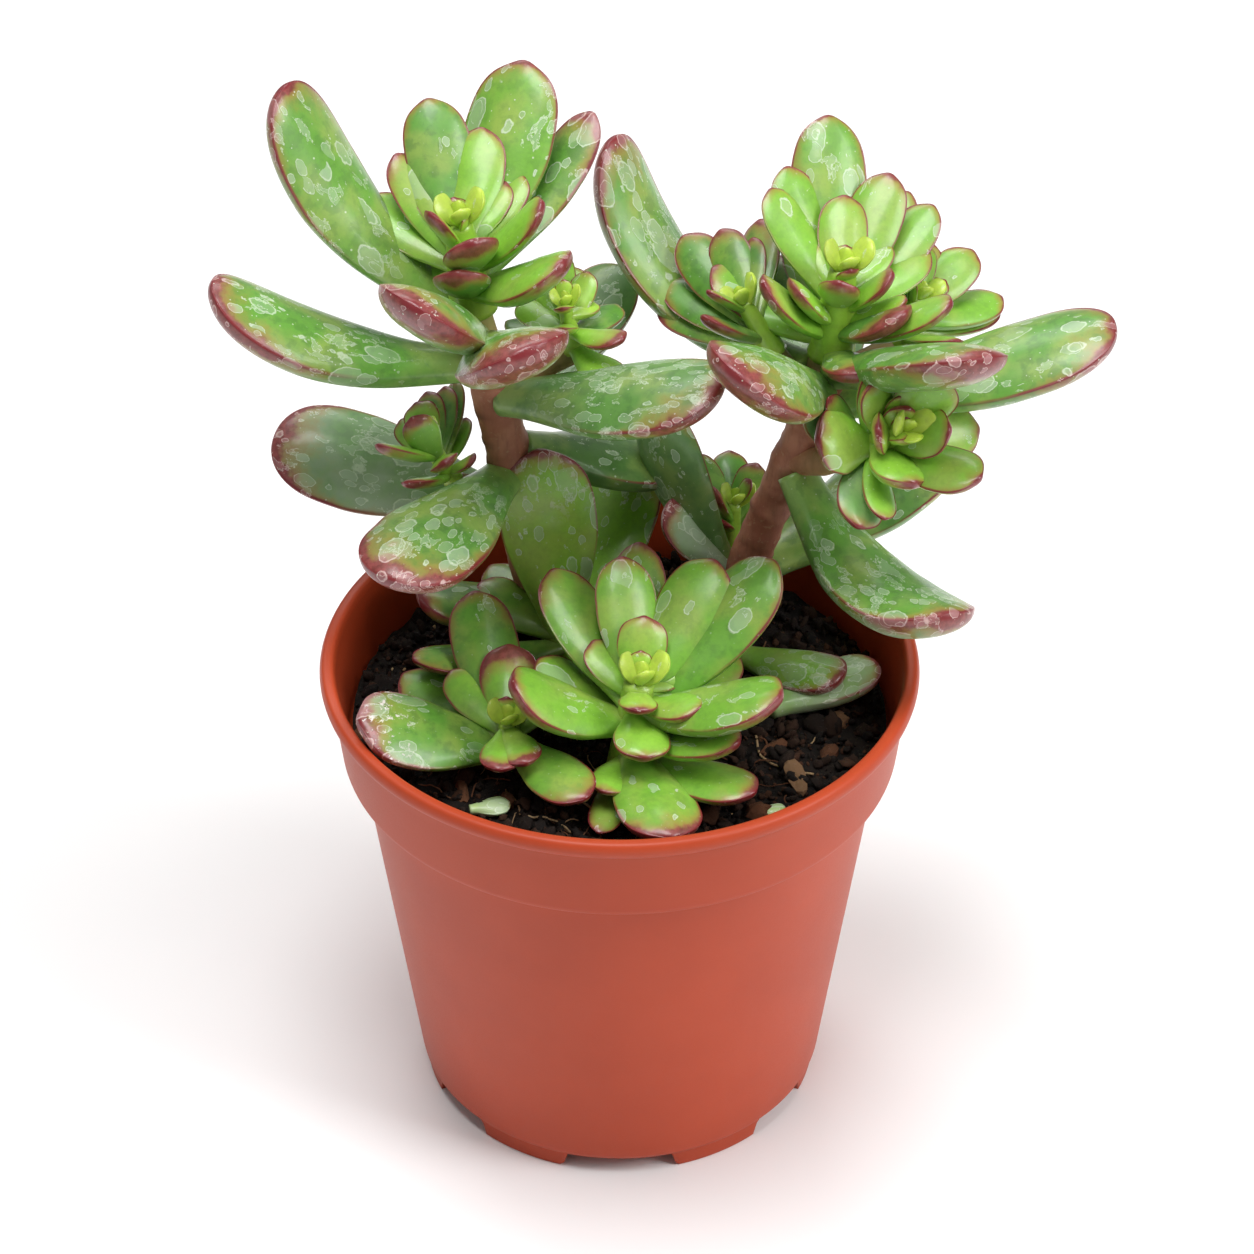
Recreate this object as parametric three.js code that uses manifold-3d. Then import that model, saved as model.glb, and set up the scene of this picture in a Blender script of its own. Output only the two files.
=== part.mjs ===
// A branching succulent in a terracotta coloured plastic nursery pot.
// Millimetres, +Z up. The plant and pot are laid out round the pot's own axis, with the feet at Z = 0
// and the viewer's side at -Y. At the end all is moved so that the origin lies at the middle of the
// whole thing's footprint.

import * as THREE from 'three';
import { mergeVertices } from 'three/addons/utils/BufferGeometryUtils.js';
import Module from 'manifold-3d';

const wasm = await Module();
wasm.setup();

// Driving dimensions

const clearance = 0.3; // left between pieces that touch
const footprintMiddle = new THREE.Vector2(7.1, 3.6); // middle of the whole footprint, from the pot

const pot = {
  rimRadius: 52.5,
  mouthRadius: 50.1,
  height: 89.7,
  collarFoot: 71.9, // height where the wide collar steps in to the body
  collarRadius: 49.1,
  bodyTopRadius: 46.1,
  bodyFootRadius: 37.0,
  footHeight: 3.3,
  footRadius: 36.0,
  wall: 1.3,
  drainRadius: 3.5,
  drainRing: 24,
  drainCount: 5,
  sides: 32,
  notchInner: 25, // a notch in the foot ring is cut from this radius out
};

// Notches in the foot ring: [degrees round from the front, degrees wide]
const footNotches = [[0, 32], [54.5, 22], [125.5, 22], [180, 32], [234.5, 22], [305.5, 22]];

const soil = {
  top: 78,
  relief: 1.3,
  sides: 24,
  rings: 4,
  bumps: 14,
  seed: 7,
};

const leafForm = {
  rootShare: 0.4, // width at the root as a share of the full width
  widest: 0.64, // place of the full width along the leaf
  roundness: 2.7, // how blunt the end is
  upperShare: 0.42, // share of the thickness that lies above the midline
  thinFrom: 0.7, // place along the leaf from which it thins to its end
  rootStart: 2.5, // where a large leaf's midline starts, out from the middle of its stem
  smallLength: 15.5, // a crown leaf shorter than this has fewer faces
  crownThickness: 0.42, // thickness as a share of the width
  largeThickness: 0.44,
};

// How finely leaves are faceted
const smallFaces = { sides: 4, stations: [0, 0.55, 0.88] };
const crownFaces = { sides: 5, stations: [0, 0.36, 0.7, 0.91] };
const largeFaces = { sides: 8, stations: [0.03, 0.2, 0.42, 0.64, 0.82, 0.94] };

// Stems: [x, y, z, radius] at places up the stem
const leftStemPath = [
  [-12.4, 24.5, 66, 4.4], [-12.6, 24.3, 78, 4.3], [-16.5, 22, 98, 4.0],
  [-19, 20, 116.5, 3.7], [-22.4, 18.8, 135, 3.4], [-24.7, 18, 149.4, 3.0],
];
const rightStemPath = [
  [18.5, 26.8, 66, 3.7], [18.9, 25.8, 78, 3.7], [23.6, 22, 96, 3.5],
  [29.6, 20, 116, 3.4], [34.6, 18.5, 132, 3.1], [36, 19.2, 139.4, 2.9],
];

// Side branches fused into each stem, with the same four values at their places
const leftBranches = [
  [[-22.3, 18.9, 131, 2.2], [-15.5, 20.2, 134.6, 1.9], [-8.1, 21.1, 138.4, 1.8]],
  [[-17.9, 20.6, 110, 2.0], [-23.5, 18.4, 112.2, 1.9], [-28.6, 16.3, 115.1, 1.8]],
];
const rightBranches = [
  [[29.8, 19.8, 117, 2.6], [36, 13, 121.8, 2.5], [40.7, 7, 127.9, 2.3]],
  [[35.4, 18.9, 134.5, 2.3], [42, 24, 134.8, 2.1], [47.7, 27.3, 136.4, 1.9]],
  [[34, 18.7, 130, 2.3], [30, 19.4, 134.5, 2.2], [26.7, 20.3, 138.8, 2.0]],
];

// Crowns: foot, direction of the axis, height of the axis, radius of the green stem in it, and leaves.
// A leaf row is [place up the axis, turn about it, rise from square to it, length, width, curl].
// Turn 0 points to +X and 90 to the back; curl is how far the leaf bends up along its length.
const crowns = {
  left_crown: {
    foot: [-24.7, 18, 149.8], axis: [-2, -2, 18], height: 18, radius: 4.2,
    leaves: [
      [3, 85, 12, 26, 12, 25], [4, 104, 14, 26, 12, 25], [4, -34, 31, 24, 13, 20],
      [5, 140, 8, 27, 9.5, 25], [5, 46, 26, 36, 10.5, 25], [7, 67, 36, 37.5, 16.5, 18],
      [8, 125, 37, 23, 8, 20], [3.5, -93, 51, 14, 9.5, 10], [8, 141, 20, 21.5, 9.5, 20],
      [8, -1, 42, 19, 9, 20], [9, 102, 40, 29, 11.5, 15], [8.5, -71, 54, 14, 9.5, 10],
      [11, 49, 23, 17, 7.5, 15], [10, 114, 33, 22, 8, 10], [12, 78, 30, 22, 10, 10],
      [12, 55, 23, 14, 6.5, 10], [12, -140, 65, 12, 6, 5], [15, 101, 53, 6.5, 4.5, 0],
      [15.5, -10, 73, 5, 4.5, 0],
    ],
  },
  left_side_crown: {
    foot: [-7.9, 21.1, 139], axis: [-0.15, 0, 1], height: 9.5, radius: 1.9,
    leaves: [
      [1, -57, -1, 14.5, 7, 20], [3, 54, -7, 13, 7, 20], [2, 140, -2, 15, 5, 20],
      [4, -40, 10, 12.5, 6, 20], [4, 138, 11, 11.5, 6.5, 20], [3, 110, 20, 12, 6, 20],
      [6, 90, 21, 14, 3.5, 10], [7, 51, -7, 6.5, 6, 10], [7, 86, 9, 12.5, 6, 10],
      [5, 60, 35, 10, 5.5, 15], [5, -95, 30, 8, 5, 10], [8.5, -89, 34, 5, 3.5, 0],
      [9, 80, 62, 4.5, 3, 0],
    ],
  },
  left_low_crown: {
    foot: [-28.9, 16.2, 115.5], axis: [-0.5, 0.05, 0.95], height: 9.5, radius: 1.9,
    leaves: [
      [1, -121, 35, 11.5, 5, 15], [2, -23, 14, 7, 4, 15], [3, 64, 10, 11, 4.5, 15],
      [4, 68, 23, 16, 5, 15], [4.5, -69, 22, 8, 5.5, 10], [5, 72, 25, 14, 5.5, 15],
      [5, -75, 72, 11.5, 6, 10], [5.5, 86, 29, 13, 5.5, 15], [5.5, -134, 49, 13, 6, 15],
      [6, 121, 26, 10.5, 6, 15], [7.5, 94, 36, 9, 6.5, 5], [8.5, -68, 43, 4, 3.5, 0],
    ],
  },
  right_crown: {
    foot: [36.1, 19.4, 139.8], axis: [1.5, -2, 18], height: 18, radius: 4.2,
    leaves: [
      [0.5, -73, 26, 17, 10, 15], [3, 150, 10, 24, 11, 25], [4, 63, 25, 30, 8, 20],
      [4, 100, 12, 26, 11, 25], [4, -19, 35, 23, 9.5, 20], [4, 132, -3, 32, 12.5, 30],
      [4.5, -37, 41, 17, 10, 15], [7, 95, 35, 36, 13, 20], [7, 49, 25, 27, 9.5, 20],
      [8, 115, 34, 27, 9.5, 15], [7, -19, 36, 14, 5.5, 15], [3.5, -166, 44, 19, 9.5, 15],
      [9, 38, 15, 20, 9, 15], [9, 68, 33, 26, 10, 15], [10, 128, 31, 23, 8.5, 10],
      [6.5, -155, 49, 14, 8, 10], [9, -13, 51, 13, 7, 10], [12, 88, 29, 18.5, 8.5, 10],
      [10, -100, 62, 10, 7, 5], [12, 54, 17, 14, 7, 10], [12, 110, 22, 10.5, 5, 5],
      [16, 85, 50, 5.5, 4.5, 0], [15.5, -67, 59, 5, 4, 0],
    ],
  },
  right_back_crown: {
    foot: [48, 27.6, 136.8], axis: [0.35, 0.1, 0.9], height: 9, radius: 2.4,
    leaves: [
      [2, 95, 20, 15, 8, 20], [2, -140, 18, 12, 6, 20], [1, -53, 30, 14, 6.5, 15],
      [2, 28, 18, 19.5, 6.5, 20], [4, 29, 20, 19, 9, 15], [5, 82, 37, 15, 5.5, 15],
      [5, 150, 45, 12, 6, 15], [5, 54, 38, 17.5, 8.5, 10], [7, 43, 41, 7.5, 4.5, 5],
      [7, 95, 52, 11, 5, 5], [7.5, -160, 62, 7, 4, 0],
    ],
  },
  right_inner_crown: {
    foot: [26.4, 20.4, 139.2], axis: [-0.5, 0.05, 0.9], height: 11, radius: 2.4,
    leaves: [
      [2, 139, 23, 23, 8.5, 20], [3, 133, 29, 22, 8, 20], [3, 73, 16, 18, 8.5, 20],
      [5, 112, 35, 23.5, 9, 15], [3, -149, 56, 13, 7, 15], [7, 92, 33, 19, 7.5, 10],
      [5, 63, -3, 12, 5.5, 10], [7, 71, 24, 20, 8, 10], [8, 73, 25, 15.5, 5, 10],
      [9, -150, 62, 9, 4.5, 0],
    ],
  },
  right_side_crown: {
    foot: [41, 6.7, 128.3], axis: [0.45, -0.6, 0.66], height: 14, radius: 2.8,
    leaves: [
      [3, -106, 13, 16, 9, 20], [4, 108, 44, 16.5, 9, 15], [2, 149, 24, 13, 5, 20],
      [5, -174, 12, 12.5, 11, 15], [5, 13, 4, 20, 10, 15], [5, -41, 53, 21.5, 10, 15],
      [4, -96, 24, 15.5, 6, 15], [7, 61, 63, 17.5, 9.5, 15], [8, 125, 37, 12, 8, 10],
      [8, 99, 53, 9.5, 4.5, 10], [9, -175, 50, 7.5, 7, 5], [8, -5, 68, 13.5, 8.5, 10],
      [6, -83, 47, 13, 10.5, 10], [10, 87, 60, 7, 7, 5], [10.5, -73, 76, 6, 5.5, 0],
      [11.5, 90, 62, 4.5, 4, 0], [12, -60, 64, 4, 3.5, 0], [0, 161, 16, 14, 7, 10],
    ],
  },
  front_crown: {
    foot: [0.8, -17.4, 70], axis: [0.09, -0.04, 1], height: 28, radius: 4.6,
    leaves: [
      [11, -105, -1, 20, 6, 5], [12, -108, 14, 16, 7, 5], [13, -76, 8, 27, 14, 5],
      [12, -37, 14, 26, 11, 10], [16, -33, 25, 22, 10, 10], [19, -169, 26, 24, 14.5, 30],
      [20, 91, 28, 32.5, 10, 15], [20, 36, 41, 35.5, 14.5, 10], [20, 37, 9, 22.5, 9, 15],
      [21, -21, 29, 28, 15, 10], [22, 125, 23, 29, 11.5, 15], [23, 57, 39, 28, 12.5, 10],
      [24, 101, 36, 25, 10.5, 10], [22, -83, 2, 13, 9.5, 5], [24.5, 42, 19, 18.5, 9.5, 10],
      [23.5, -32, 24, 13.5, 8.5, 10], [24.5, 132, 21, 12.5, 8, 15], [26, 88, 51, 12.5, 8.5, 5],
      [26, 36, 3, 8.5, 5.5, 5], [26, -91, 16, 8, 6.5, 0], [27, 90, 60, 6, 4, 0],
      [18, 150, 15, 20, 10, 15], [17, 95, 20, 20, 10, 15],
    ],
  },
  front_left_crown: {
    foot: [-19.1, -13.9, 70], axis: [-0.01, -0.22, 1], height: 19.5, radius: 2.6,
    leaves: [
      [12.5, -172, 26, 27.5, 16, 10], [15.5, 140, -4, 24, 9.5, 20], [15.5, 103, 15, 28, 11.5, 15],
      [16.5, 129, 8, 15.5, 8, 15], [16.5, 89, 18, 16, 10, 10], [15.5, -51, 11, 22, 10, 10],
      [17.5, -96, 16, 12, 7, 5], [18, -71, 16, 11.5, 7, 5], [14, 60, 15, 14, 8, 15],
      [18.5, 90, 60, 5, 4, 0],
    ],
  },
  middle_crown: {
    foot: [-8, 11.5, 70], axis: [-0.1, -0.05, 1], height: 22, radius: 3,
    leaves: [
      [14, 97, 78, 37.5, 17, 10], [15, 67, 25, 37, 16.5, 15], [16, 126, 5, 23, 9.5, 20],
      [14, -150, 21, 31, 9, 15], [18, 90, 10, 22, 6.5, 10], [18, 69, 13, 24, 6, 10],
      [15, 45, 20, 20, 10, 15], [16, 150, 20, 18, 10, 15], [19, -60, 40, 10, 6, 5],
      [20, 120, 60, 9, 5, 0], [21, 20, 62, 7, 4, 0],
    ],
  },
  back_crown: {
    foot: [19.3, 35, 70], axis: [0.05, -0.02, 1], height: 28, radius: 2.2,
    leaves: [
      [15, -60, 15, 12, 6, 20], [16, 60, 34, 11, 6.5, 20], [18, 20, 40, 16, 8, 10],
      [20, 120, 38, 12, 6, 15], [22, -171, 43, 7, 4, 5], [22, -127, 46, 5.5, 3.5, 5],
      [23, 134, 23, 9, 4.5, 10], [24, -158, 62, 9, 5, 10], [23.5, 132, 38, 14, 7, 10],
      [24, 94, 26, 14, 7, 10], [24, 60, 45, 11, 6, 5], [27, 20, 64, 6, 3.5, 0],
    ],
  },
};

// Large leaves on a bare stem: [height on the stem, turn, rise, length, width, curl, roll]
const leftLeaves = [
  [149, 165, 53, 48.5, 18, 48, -12],
  [138.5, -176, 22, 46.5, 19, 47, 0],
  [107, 169, 12, 42.5, 19, 5, -28],
  [115.5, -115, 8, 44, 19.5, 0, -6],
  [143.5, -77, 31, 43, 19, 10, 16],
  [146, -104, 38, 42, 18, 0, -22],
  [132, -31, 20, 45, 19, 8, 12],
  [127, 56, 17, 37, 15, 20, 0],
  [120, 30, -24, 34, 18, 16, 0],
  [86, -152, 17, 22, 14, 15, 0],
];
const rightLeaves = [
  [136.5, 142, 34, 52.5, 18, 100, 9],
  [134.5, -114, 34, 45, 19.5, 0, -26],
  [130.5, -4, 20, 50.5, 19, 12, 7],
  [137.5, -51, 30, 42, 18, 0, -15],
  [116, -55, -6, 43.5, 19.5, 82, -12],
  [91, 30, 20, 43.5, 18.5, 14, 4],
  [126, 85, 8, 38, 17, 35, 0],
  [90, 168, 70, 38, 15, 20, 60],
  [92, -172, 52, 19, 10, 10, -40],
];

// Leaves and bits that lie on the soil:
// [x of the root end, y of the root end, turn, length, width, thickness, rise, roll]
const fallenLeaves = [
  [26, -3.5, 28, 22, 12, 5.5, 6, -8],
  [21, 12, -37, 23, 10.5, 5.5, 13, 8],
];
const leafScraps = [
  [-25.5, -29.5, 10, 7, 4.5, 2.4, 3, 0],
  [23.5, -30.5, 15, 5, 3.2, 2, 3, 0],
];

const colours = {
  pot: 0xbe553a,
  soil: 0x2a2320,
  stem: 0x7a4a3a,
  young: 0x86b53e,
  leaf: 0x6d9150,
  old: 0x7d8a6c,
  scrap: 0xc3cf9a,
};

// Solids

// One closed body from rings of points, all with the same number of points, with a fan at each end.
function loft(rings, start, end) {
  const count = rings[0].length;
  const points = [start, ...rings.flat(), end];
  const last = points.length - 1;
  const index = [];
  for (let i = 0; i < count; i++) {
    const next = (i + 1) % count;
    index.push(0, 1 + next, 1 + i);
    index.push(last, last - count + i, last - count + next);
  }
  for (let r = 0; r < rings.length - 1; r++) {
    const low = 1 + r * count;
    const high = low + count;
    for (let i = 0; i < count; i++) {
      const next = (i + 1) % count;
      index.push(low + i, low + next, high + next);
      index.push(low + i, high + next, high + i);
    }
  }
  const geometry = new THREE.BufferGeometry().setFromPoints(points);
  geometry.setIndex(index);
  return geometry;
}

// A solid for joining and cutting, from a closed geometry.
function toSolid(geometry) {
  geometry.deleteAttribute('normal');
  geometry.deleteAttribute('uv');
  const merged = mergeVertices(geometry, 1e-4);
  const corners = merged.index.array;
  const kept = [];
  for (let i = 0; i < corners.length; i += 3) {
    const [a, b, c] = corners.slice(i, i + 3);
    if (a !== b && b !== c && c !== a) kept.push(a, b, c);
  }
  return new wasm.Manifold(new wasm.Mesh({
    numProp: 3,
    vertProperties: new Float32Array(merged.attributes.position.array),
    triVerts: new Uint32Array(kept),
  }));
}

function toGeometry(solid) {
  const { vertProperties, triVerts } = solid.getMesh();
  const geometry = new THREE.BufferGeometry();
  geometry.setAttribute('position', new THREE.BufferAttribute(new Float32Array(vertProperties), 3));
  geometry.setIndex(new THREE.BufferAttribute(new Uint32Array(triVerts), 1));
  geometry.computeVertexNormals();
  return geometry;
}

function fuse(solids) {
  return solids.reduce((all, next) => all.add(next));
}

// The largest body of a solid, so that a scrap left by a cut is dropped.
function mainBody(solid) {
  const bodies = solid.decompose();
  return bodies.reduce((best, body) => (body.volume() > best.volume() ? body : best));
}

function boxesMeet(a, b) {
  const boxA = a.boundingBox();
  const boxB = b.boundingBox();
  return [0, 1, 2].every((k) => boxA.min[k] < boxB.max[k] && boxB.min[k] < boxA.max[k]);
}

const smooth = (t) => t * t * (3 - 2 * t);

// Half width of a leaf as a share of the full half width: a narrow root that swells to the widest
// place, and then a round end.
function widthShare(s) {
  const { rootShare, widest, roundness } = leafForm;
  if (s < widest) return rootShare + (1 - rootShare) * smooth(s / widest);
  return Math.sqrt(Math.max(0, 1 - ((s - widest) / (1 - widest)) ** roundness));
}

function thicknessShare(s) {
  const swell = 0.7 + 0.3 * smooth(Math.min(1, s / 0.45));
  const tip = Math.max(0, (s - leafForm.thinFrom) / (1 - leafForm.thinFrom));
  return swell * Math.sqrt(Math.max(0, 1 - tip ** leafForm.roundness));
}

// A fleshy leaf. Its midline is an arc in the upright plane of its turn, its chord has the length and
// the rise given, and it bends by curl from root to tip. The section is rounder below than above.
function leafGeometry(leaf, grow) {
  const { root, axes, turn, rise, length, width, thickness, curl, roll, sides, stations } = leaf;
  const [right, back, up] = axes;
  const angle = THREE.MathUtils.degToRad(turn);
  const ahead = right.clone().multiplyScalar(Math.cos(angle)).addScaledVector(back, Math.sin(angle));
  const bend = THREE.MathUtils.degToRad(curl || 0.1);
  const start = THREE.MathUtils.degToRad(rise) - bend / 2;
  const radius = length / (2 * Math.sin(bend / 2));
  const tilt = THREE.MathUtils.degToRad(roll);
  const place = (s) => {
    const now = start + bend * s;
    return root.clone()
      .addScaledVector(ahead, radius * (Math.sin(now) - Math.sin(start)))
      .addScaledVector(up, radius * (Math.cos(start) - Math.cos(now)));
  };
  const rings = stations.map((s) => {
    const now = start + bend * s;
    const along = ahead.clone().multiplyScalar(Math.cos(now)).addScaledVector(up, Math.sin(now));
    const normal = ahead.clone().multiplyScalar(-Math.sin(now)).addScaledVector(up, Math.cos(now));
    const side = new THREE.Vector3().crossVectors(normal, along);
    const across = side.clone().multiplyScalar(Math.cos(tilt)).addScaledVector(normal, Math.sin(tilt));
    const out = normal.clone().multiplyScalar(Math.cos(tilt)).addScaledVector(side, -Math.sin(tilt));
    const half = (width / 2) * widthShare(s) * (sides % 2 ? 1.05 : 1) + grow;
    const deep = thickness * thicknessShare(s);
    return Array.from({ length: sides }, (_, i) => {
      const q = (2 * Math.PI * i) / sides - Math.PI / 2;
      const share = Math.sin(q) > 0 ? leafForm.upperShare : 1 - leafForm.upperShare;
      return place(s)
        .addScaledVector(across, half * Math.cos(q))
        .addScaledVector(out, (deep * share + grow) * Math.sin(q));
    });
  });
  const tip = place(1 + grow / length);
  return loft(rings, place(stations[0]), tip);
}

const worldAxes = [
  new THREE.Vector3(1, 0, 0),
  new THREE.Vector3(0, 1, 0),
  new THREE.Vector3(0, 0, 1),
];

// Right, back and up directions of a crown that leans along its axis.
function crownAxes(axis) {
  const up = new THREE.Vector3(...axis).normalize();
  const right = new THREE.Vector3(1, 0, 0).addScaledVector(up, -up.x).normalize();
  const back = new THREE.Vector3().crossVectors(up, right);
  return [right, back, up];
}

// A round stem along a smooth line through its places, with its radius running between theirs.
function stemGeometry(path, sides, steps, grow) {
  const line = new THREE.CatmullRomCurve3(path.map(([x, y, z]) => new THREE.Vector3(x, y, z)));
  const radii = path.map((place) => place[3]);
  const rings = Array.from({ length: steps + 1 }, (_, k) => {
    const t = k / steps;
    const centre = line.getPoint(t);
    const along = line.getTangent(t);
    const side = new THREE.Vector3(0, 1, 0).cross(along).normalize();
    const other = new THREE.Vector3().crossVectors(along, side);
    const at = t * (radii.length - 1);
    const low = Math.min(Math.floor(at), radii.length - 2);
    const radius = THREE.MathUtils.lerp(radii[low], radii[low + 1], at - low) + grow;
    return Array.from({ length: sides }, (_, i) => {
      const q = (2 * Math.PI * i) / sides;
      return centre.clone()
        .addScaledVector(side, radius * Math.cos(q))
        .addScaledVector(other, radius * Math.sin(q));
    });
  });
  const ahead = line.getTangent(1).multiplyScalar(grow);
  return loft(rings, line.getPoint(0), line.getPoint(1).add(ahead));
}

// Pieces of the plant: each is made true to size, and once more grown by the clearance to cut with.

function stemPiece(path, branches) {
  const build = (grow) => fuse([
    toSolid(stemGeometry(path, 8, 10, grow)),
    ...branches.map((branch) => toSolid(stemGeometry(branch, 6, 3, grow))),
  ]);
  return { solid: build(0), grown: build(clearance) };
}

function crownPiece({ foot, axis, height, radius, leaves }) {
  const axes = crownAxes(axis);
  const base = new THREE.Vector3(...foot);
  const at = (up) => base.clone().addScaledVector(axes[2], up);
  const stalk = [0, 0.5, 1].map((t) => [...at(height * t).toArray(), radius * (1 - 0.45 * t)]);
  const build = (grow) => fuse([
    toSolid(stemGeometry(stalk, 6, 2, grow)),
    ...leaves.map(([place, turn, rise, length, width, curl]) => toSolid(leafGeometry({
      root: at(place), axes, turn, rise, length, width, curl, roll: 0,
      thickness: width * leafForm.crownThickness,
      ...(length < leafForm.smallLength ? smallFaces : crownFaces),
    }, grow))),
  ]);
  return { solid: build(0), grown: build(clearance) };
}

function largeLeafPiece(path, [height, turn, rise, length, width, curl, roll]) {
  const above = path.findIndex((place) => place[2] > height);
  const [low, high] = [path[above - 1] ?? path.at(-2), path[above] ?? path.at(-1)];
  const t = (height - low[2]) / (high[2] - low[2]);
  const heading = THREE.MathUtils.degToRad(turn);
  const root = new THREE.Vector3(...low).lerp(new THREE.Vector3(...high), t)
    .add(new THREE.Vector3(Math.cos(heading), Math.sin(heading), 0).multiplyScalar(leafForm.rootStart));
  const leaf = {
    root, axes: worldAxes, turn, rise, length, width, curl, roll,
    thickness: width * leafForm.largeThickness, ...largeFaces,
  };
  return { solid: toSolid(leafGeometry(leaf, 0)), grown: toSolid(leafGeometry(leaf, clearance)) };
}

function lyingPiece([x, y, turn, length, width, thickness, rise, roll]) {
  const lift = thickness * (1 - leafForm.upperShare) - 0.4;
  const leaf = {
    root: new THREE.Vector3(x, y, soil.top + lift), axes: worldAxes, turn, rise, length, width,
    thickness, curl: 10, roll, sides: 6, stations: [0, 0.25, 0.55, 0.85],
  };
  return { solid: toSolid(leafGeometry(leaf, 0)), grown: toSolid(leafGeometry(leaf, clearance)) };
}

// Pot: one turned wall with a rolled lip, a wide collar, a tapered body and a foot ring, in which the
// notches and the drain holes are cut.
function potSolid() {
  const { rimRadius, mouthRadius, height, collarFoot, collarRadius, bodyTopRadius } = pot;
  const { bodyFootRadius, footHeight, footRadius, wall } = pot;
  const outline = [
    [0, footHeight], [footRadius - wall, footHeight], [footRadius - wall, 0], [footRadius, 0],
    [footRadius + 0.1, footHeight], [bodyFootRadius, footHeight + 1], [bodyTopRadius, collarFoot + 0.3],
    [collarRadius - 0.4, collarFoot], [collarRadius, collarFoot + 0.6],
    [collarRadius + 1.6, height - 3.4], [rimRadius - 0.5, height - 2.9], [rimRadius, height - 2],
    [rimRadius, height - 0.9], [rimRadius - 1.2, height], [mouthRadius, height - 0.2],
    [mouthRadius - 0.5, height - 1],
    [collarRadius - wall, collarFoot + 1.6], [bodyTopRadius - wall, collarFoot - 0.6],
    [bodyFootRadius - wall, footHeight + wall], [0, footHeight + wall],
  ];
  const points = outline.map(([r, z]) => new THREE.Vector2(r, z));
  const turned = new THREE.LatheGeometry(points, pot.sides);
  turned.rotateX(Math.PI / 2);
  let solid = toSolid(turned);
  for (const [middle, wide] of footNotches) {
    const half = THREE.MathUtils.degToRad(wide / 2);
    const outer = footRadius + 5;
    const corner = (radius, angle) => (
      new THREE.Vector2(radius * Math.sin(angle), -radius * Math.cos(angle))
    );
    const wedge = new THREE.Shape([
      corner(pot.notchInner, -half),
      corner(outer, -half),
      corner(outer, 0),
      corner(outer, half),
      corner(pot.notchInner, half),
    ]);
    const cutter = new THREE.ExtrudeGeometry(wedge, { depth: footHeight + 1, bevelEnabled: false });
    cutter.translate(0, 0, -1);
    cutter.rotateZ(THREE.MathUtils.degToRad(middle));
    solid = solid.subtract(toSolid(cutter));
  }
  for (let i = 0; i < pot.drainCount; i++) {
    const turn = (2 * Math.PI * i) / pot.drainCount;
    const hole = new THREE.CylinderGeometry(pot.drainRadius, pot.drainRadius, 4, 12);
    hole.rotateX(Math.PI / 2);
    hole.translate(pot.drainRing * Math.cos(turn), pot.drainRing * Math.sin(turn), footHeight + wall / 2);
    solid = solid.subtract(toSolid(hole));
  }
  return solid;
}

// Soil: it fills the pot to below the rim, with a gently uneven top made by a seeded draw.
function soilSolid() {
  const random = seededDraw(soil.seed);
  const spread = 2 * pot.bodyTopRadius;
  const bumps = Array.from({ length: soil.bumps }, () => ({
    x: (random() - 0.5) * spread,
    y: (random() - 0.5) * spread,
    high: (random() - 0.4) * soil.relief,
    wide: 6 + 8 * random(),
  }));
  const heightAt = (x, y) => bumps.reduce((sum, bump) => {
    const away = (x - bump.x) ** 2 + (y - bump.y) ** 2;
    return sum + bump.high * Math.exp(-away / bump.wide ** 2);
  }, soil.top);
  const { bodyFootRadius, bodyTopRadius, wall, footHeight, collarFoot, collarRadius } = pot;
  const inset = wall + clearance + 0.2;
  const ring = (radius, height) => Array.from({ length: soil.sides }, (_, i) => {
    const q = (2 * Math.PI * i) / soil.sides;
    const [x, y] = [radius * Math.cos(q), radius * Math.sin(q)];
    return new THREE.Vector3(x, y, height ?? heightAt(x, y));
  });
  const edge = collarRadius - inset - 0.6;
  const floor = footHeight + wall + clearance;
  const sunkRings = [
    ring(bodyFootRadius - inset, floor), ring(bodyTopRadius - inset, collarFoot - 1),
    ring(edge, collarFoot + 2),
  ];
  const topRings = Array.from({ length: soil.rings }, (_, k) => ring(edge * (1 - k / soil.rings)));
  return loft(
    [...sunkRings, ...topRings],
    new THREE.Vector3(0, 0, floor),
    new THREE.Vector3(0, 0, heightAt(0, 0)),
  );
}

function seededDraw(seed) {
  let state = seed;
  return () => {
    state = (state * 16807) % 2147483647;
    return state / 2147483647;
  };
}

// Assembly

const plant = [];
const addPiece = (name, piece, colour) => plant.push({ name, colour, ...piece });
addPiece('left_stem', stemPiece(leftStemPath, leftBranches), colours.stem);
addPiece('right_stem', stemPiece(rightStemPath, rightBranches), colours.stem);
for (const [name, crown] of Object.entries(crowns)) {
  addPiece(name, crownPiece(crown), colours.young);
}
const addRows = (name, rows, make, colour) => {
  rows.forEach((row, i) => addPiece(`${name}_${i + 1}`, make(row), colour));
};
addRows('left_leaf', leftLeaves, (row) => largeLeafPiece(leftStemPath, row), colours.leaf);
addRows('right_leaf', rightLeaves, (row) => largeLeafPiece(rightStemPath, row), colours.leaf);
addRows('fallen_leaf', fallenLeaves, lyingPiece, colours.old);
addRows('leaf_scrap', leafScraps, lyingPiece, colours.scrap);

// Each piece is cut clear of those set before it, where roots press on a stem or on each other, and the
// soil is cut clear of all that stands or lies in it.
plant.forEach((piece, i) => {
  for (const earlier of plant.slice(0, i)) {
    if (boxesMeet(piece.solid, earlier.grown)) piece.solid = piece.solid.subtract(earlier.grown);
  }
  piece.solid = mainBody(piece.solid);
});
let soilBody = toSolid(soilSolid());
for (const piece of plant) {
  if (boxesMeet(soilBody, piece.grown)) soilBody = soilBody.subtract(piece.grown);
}

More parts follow.
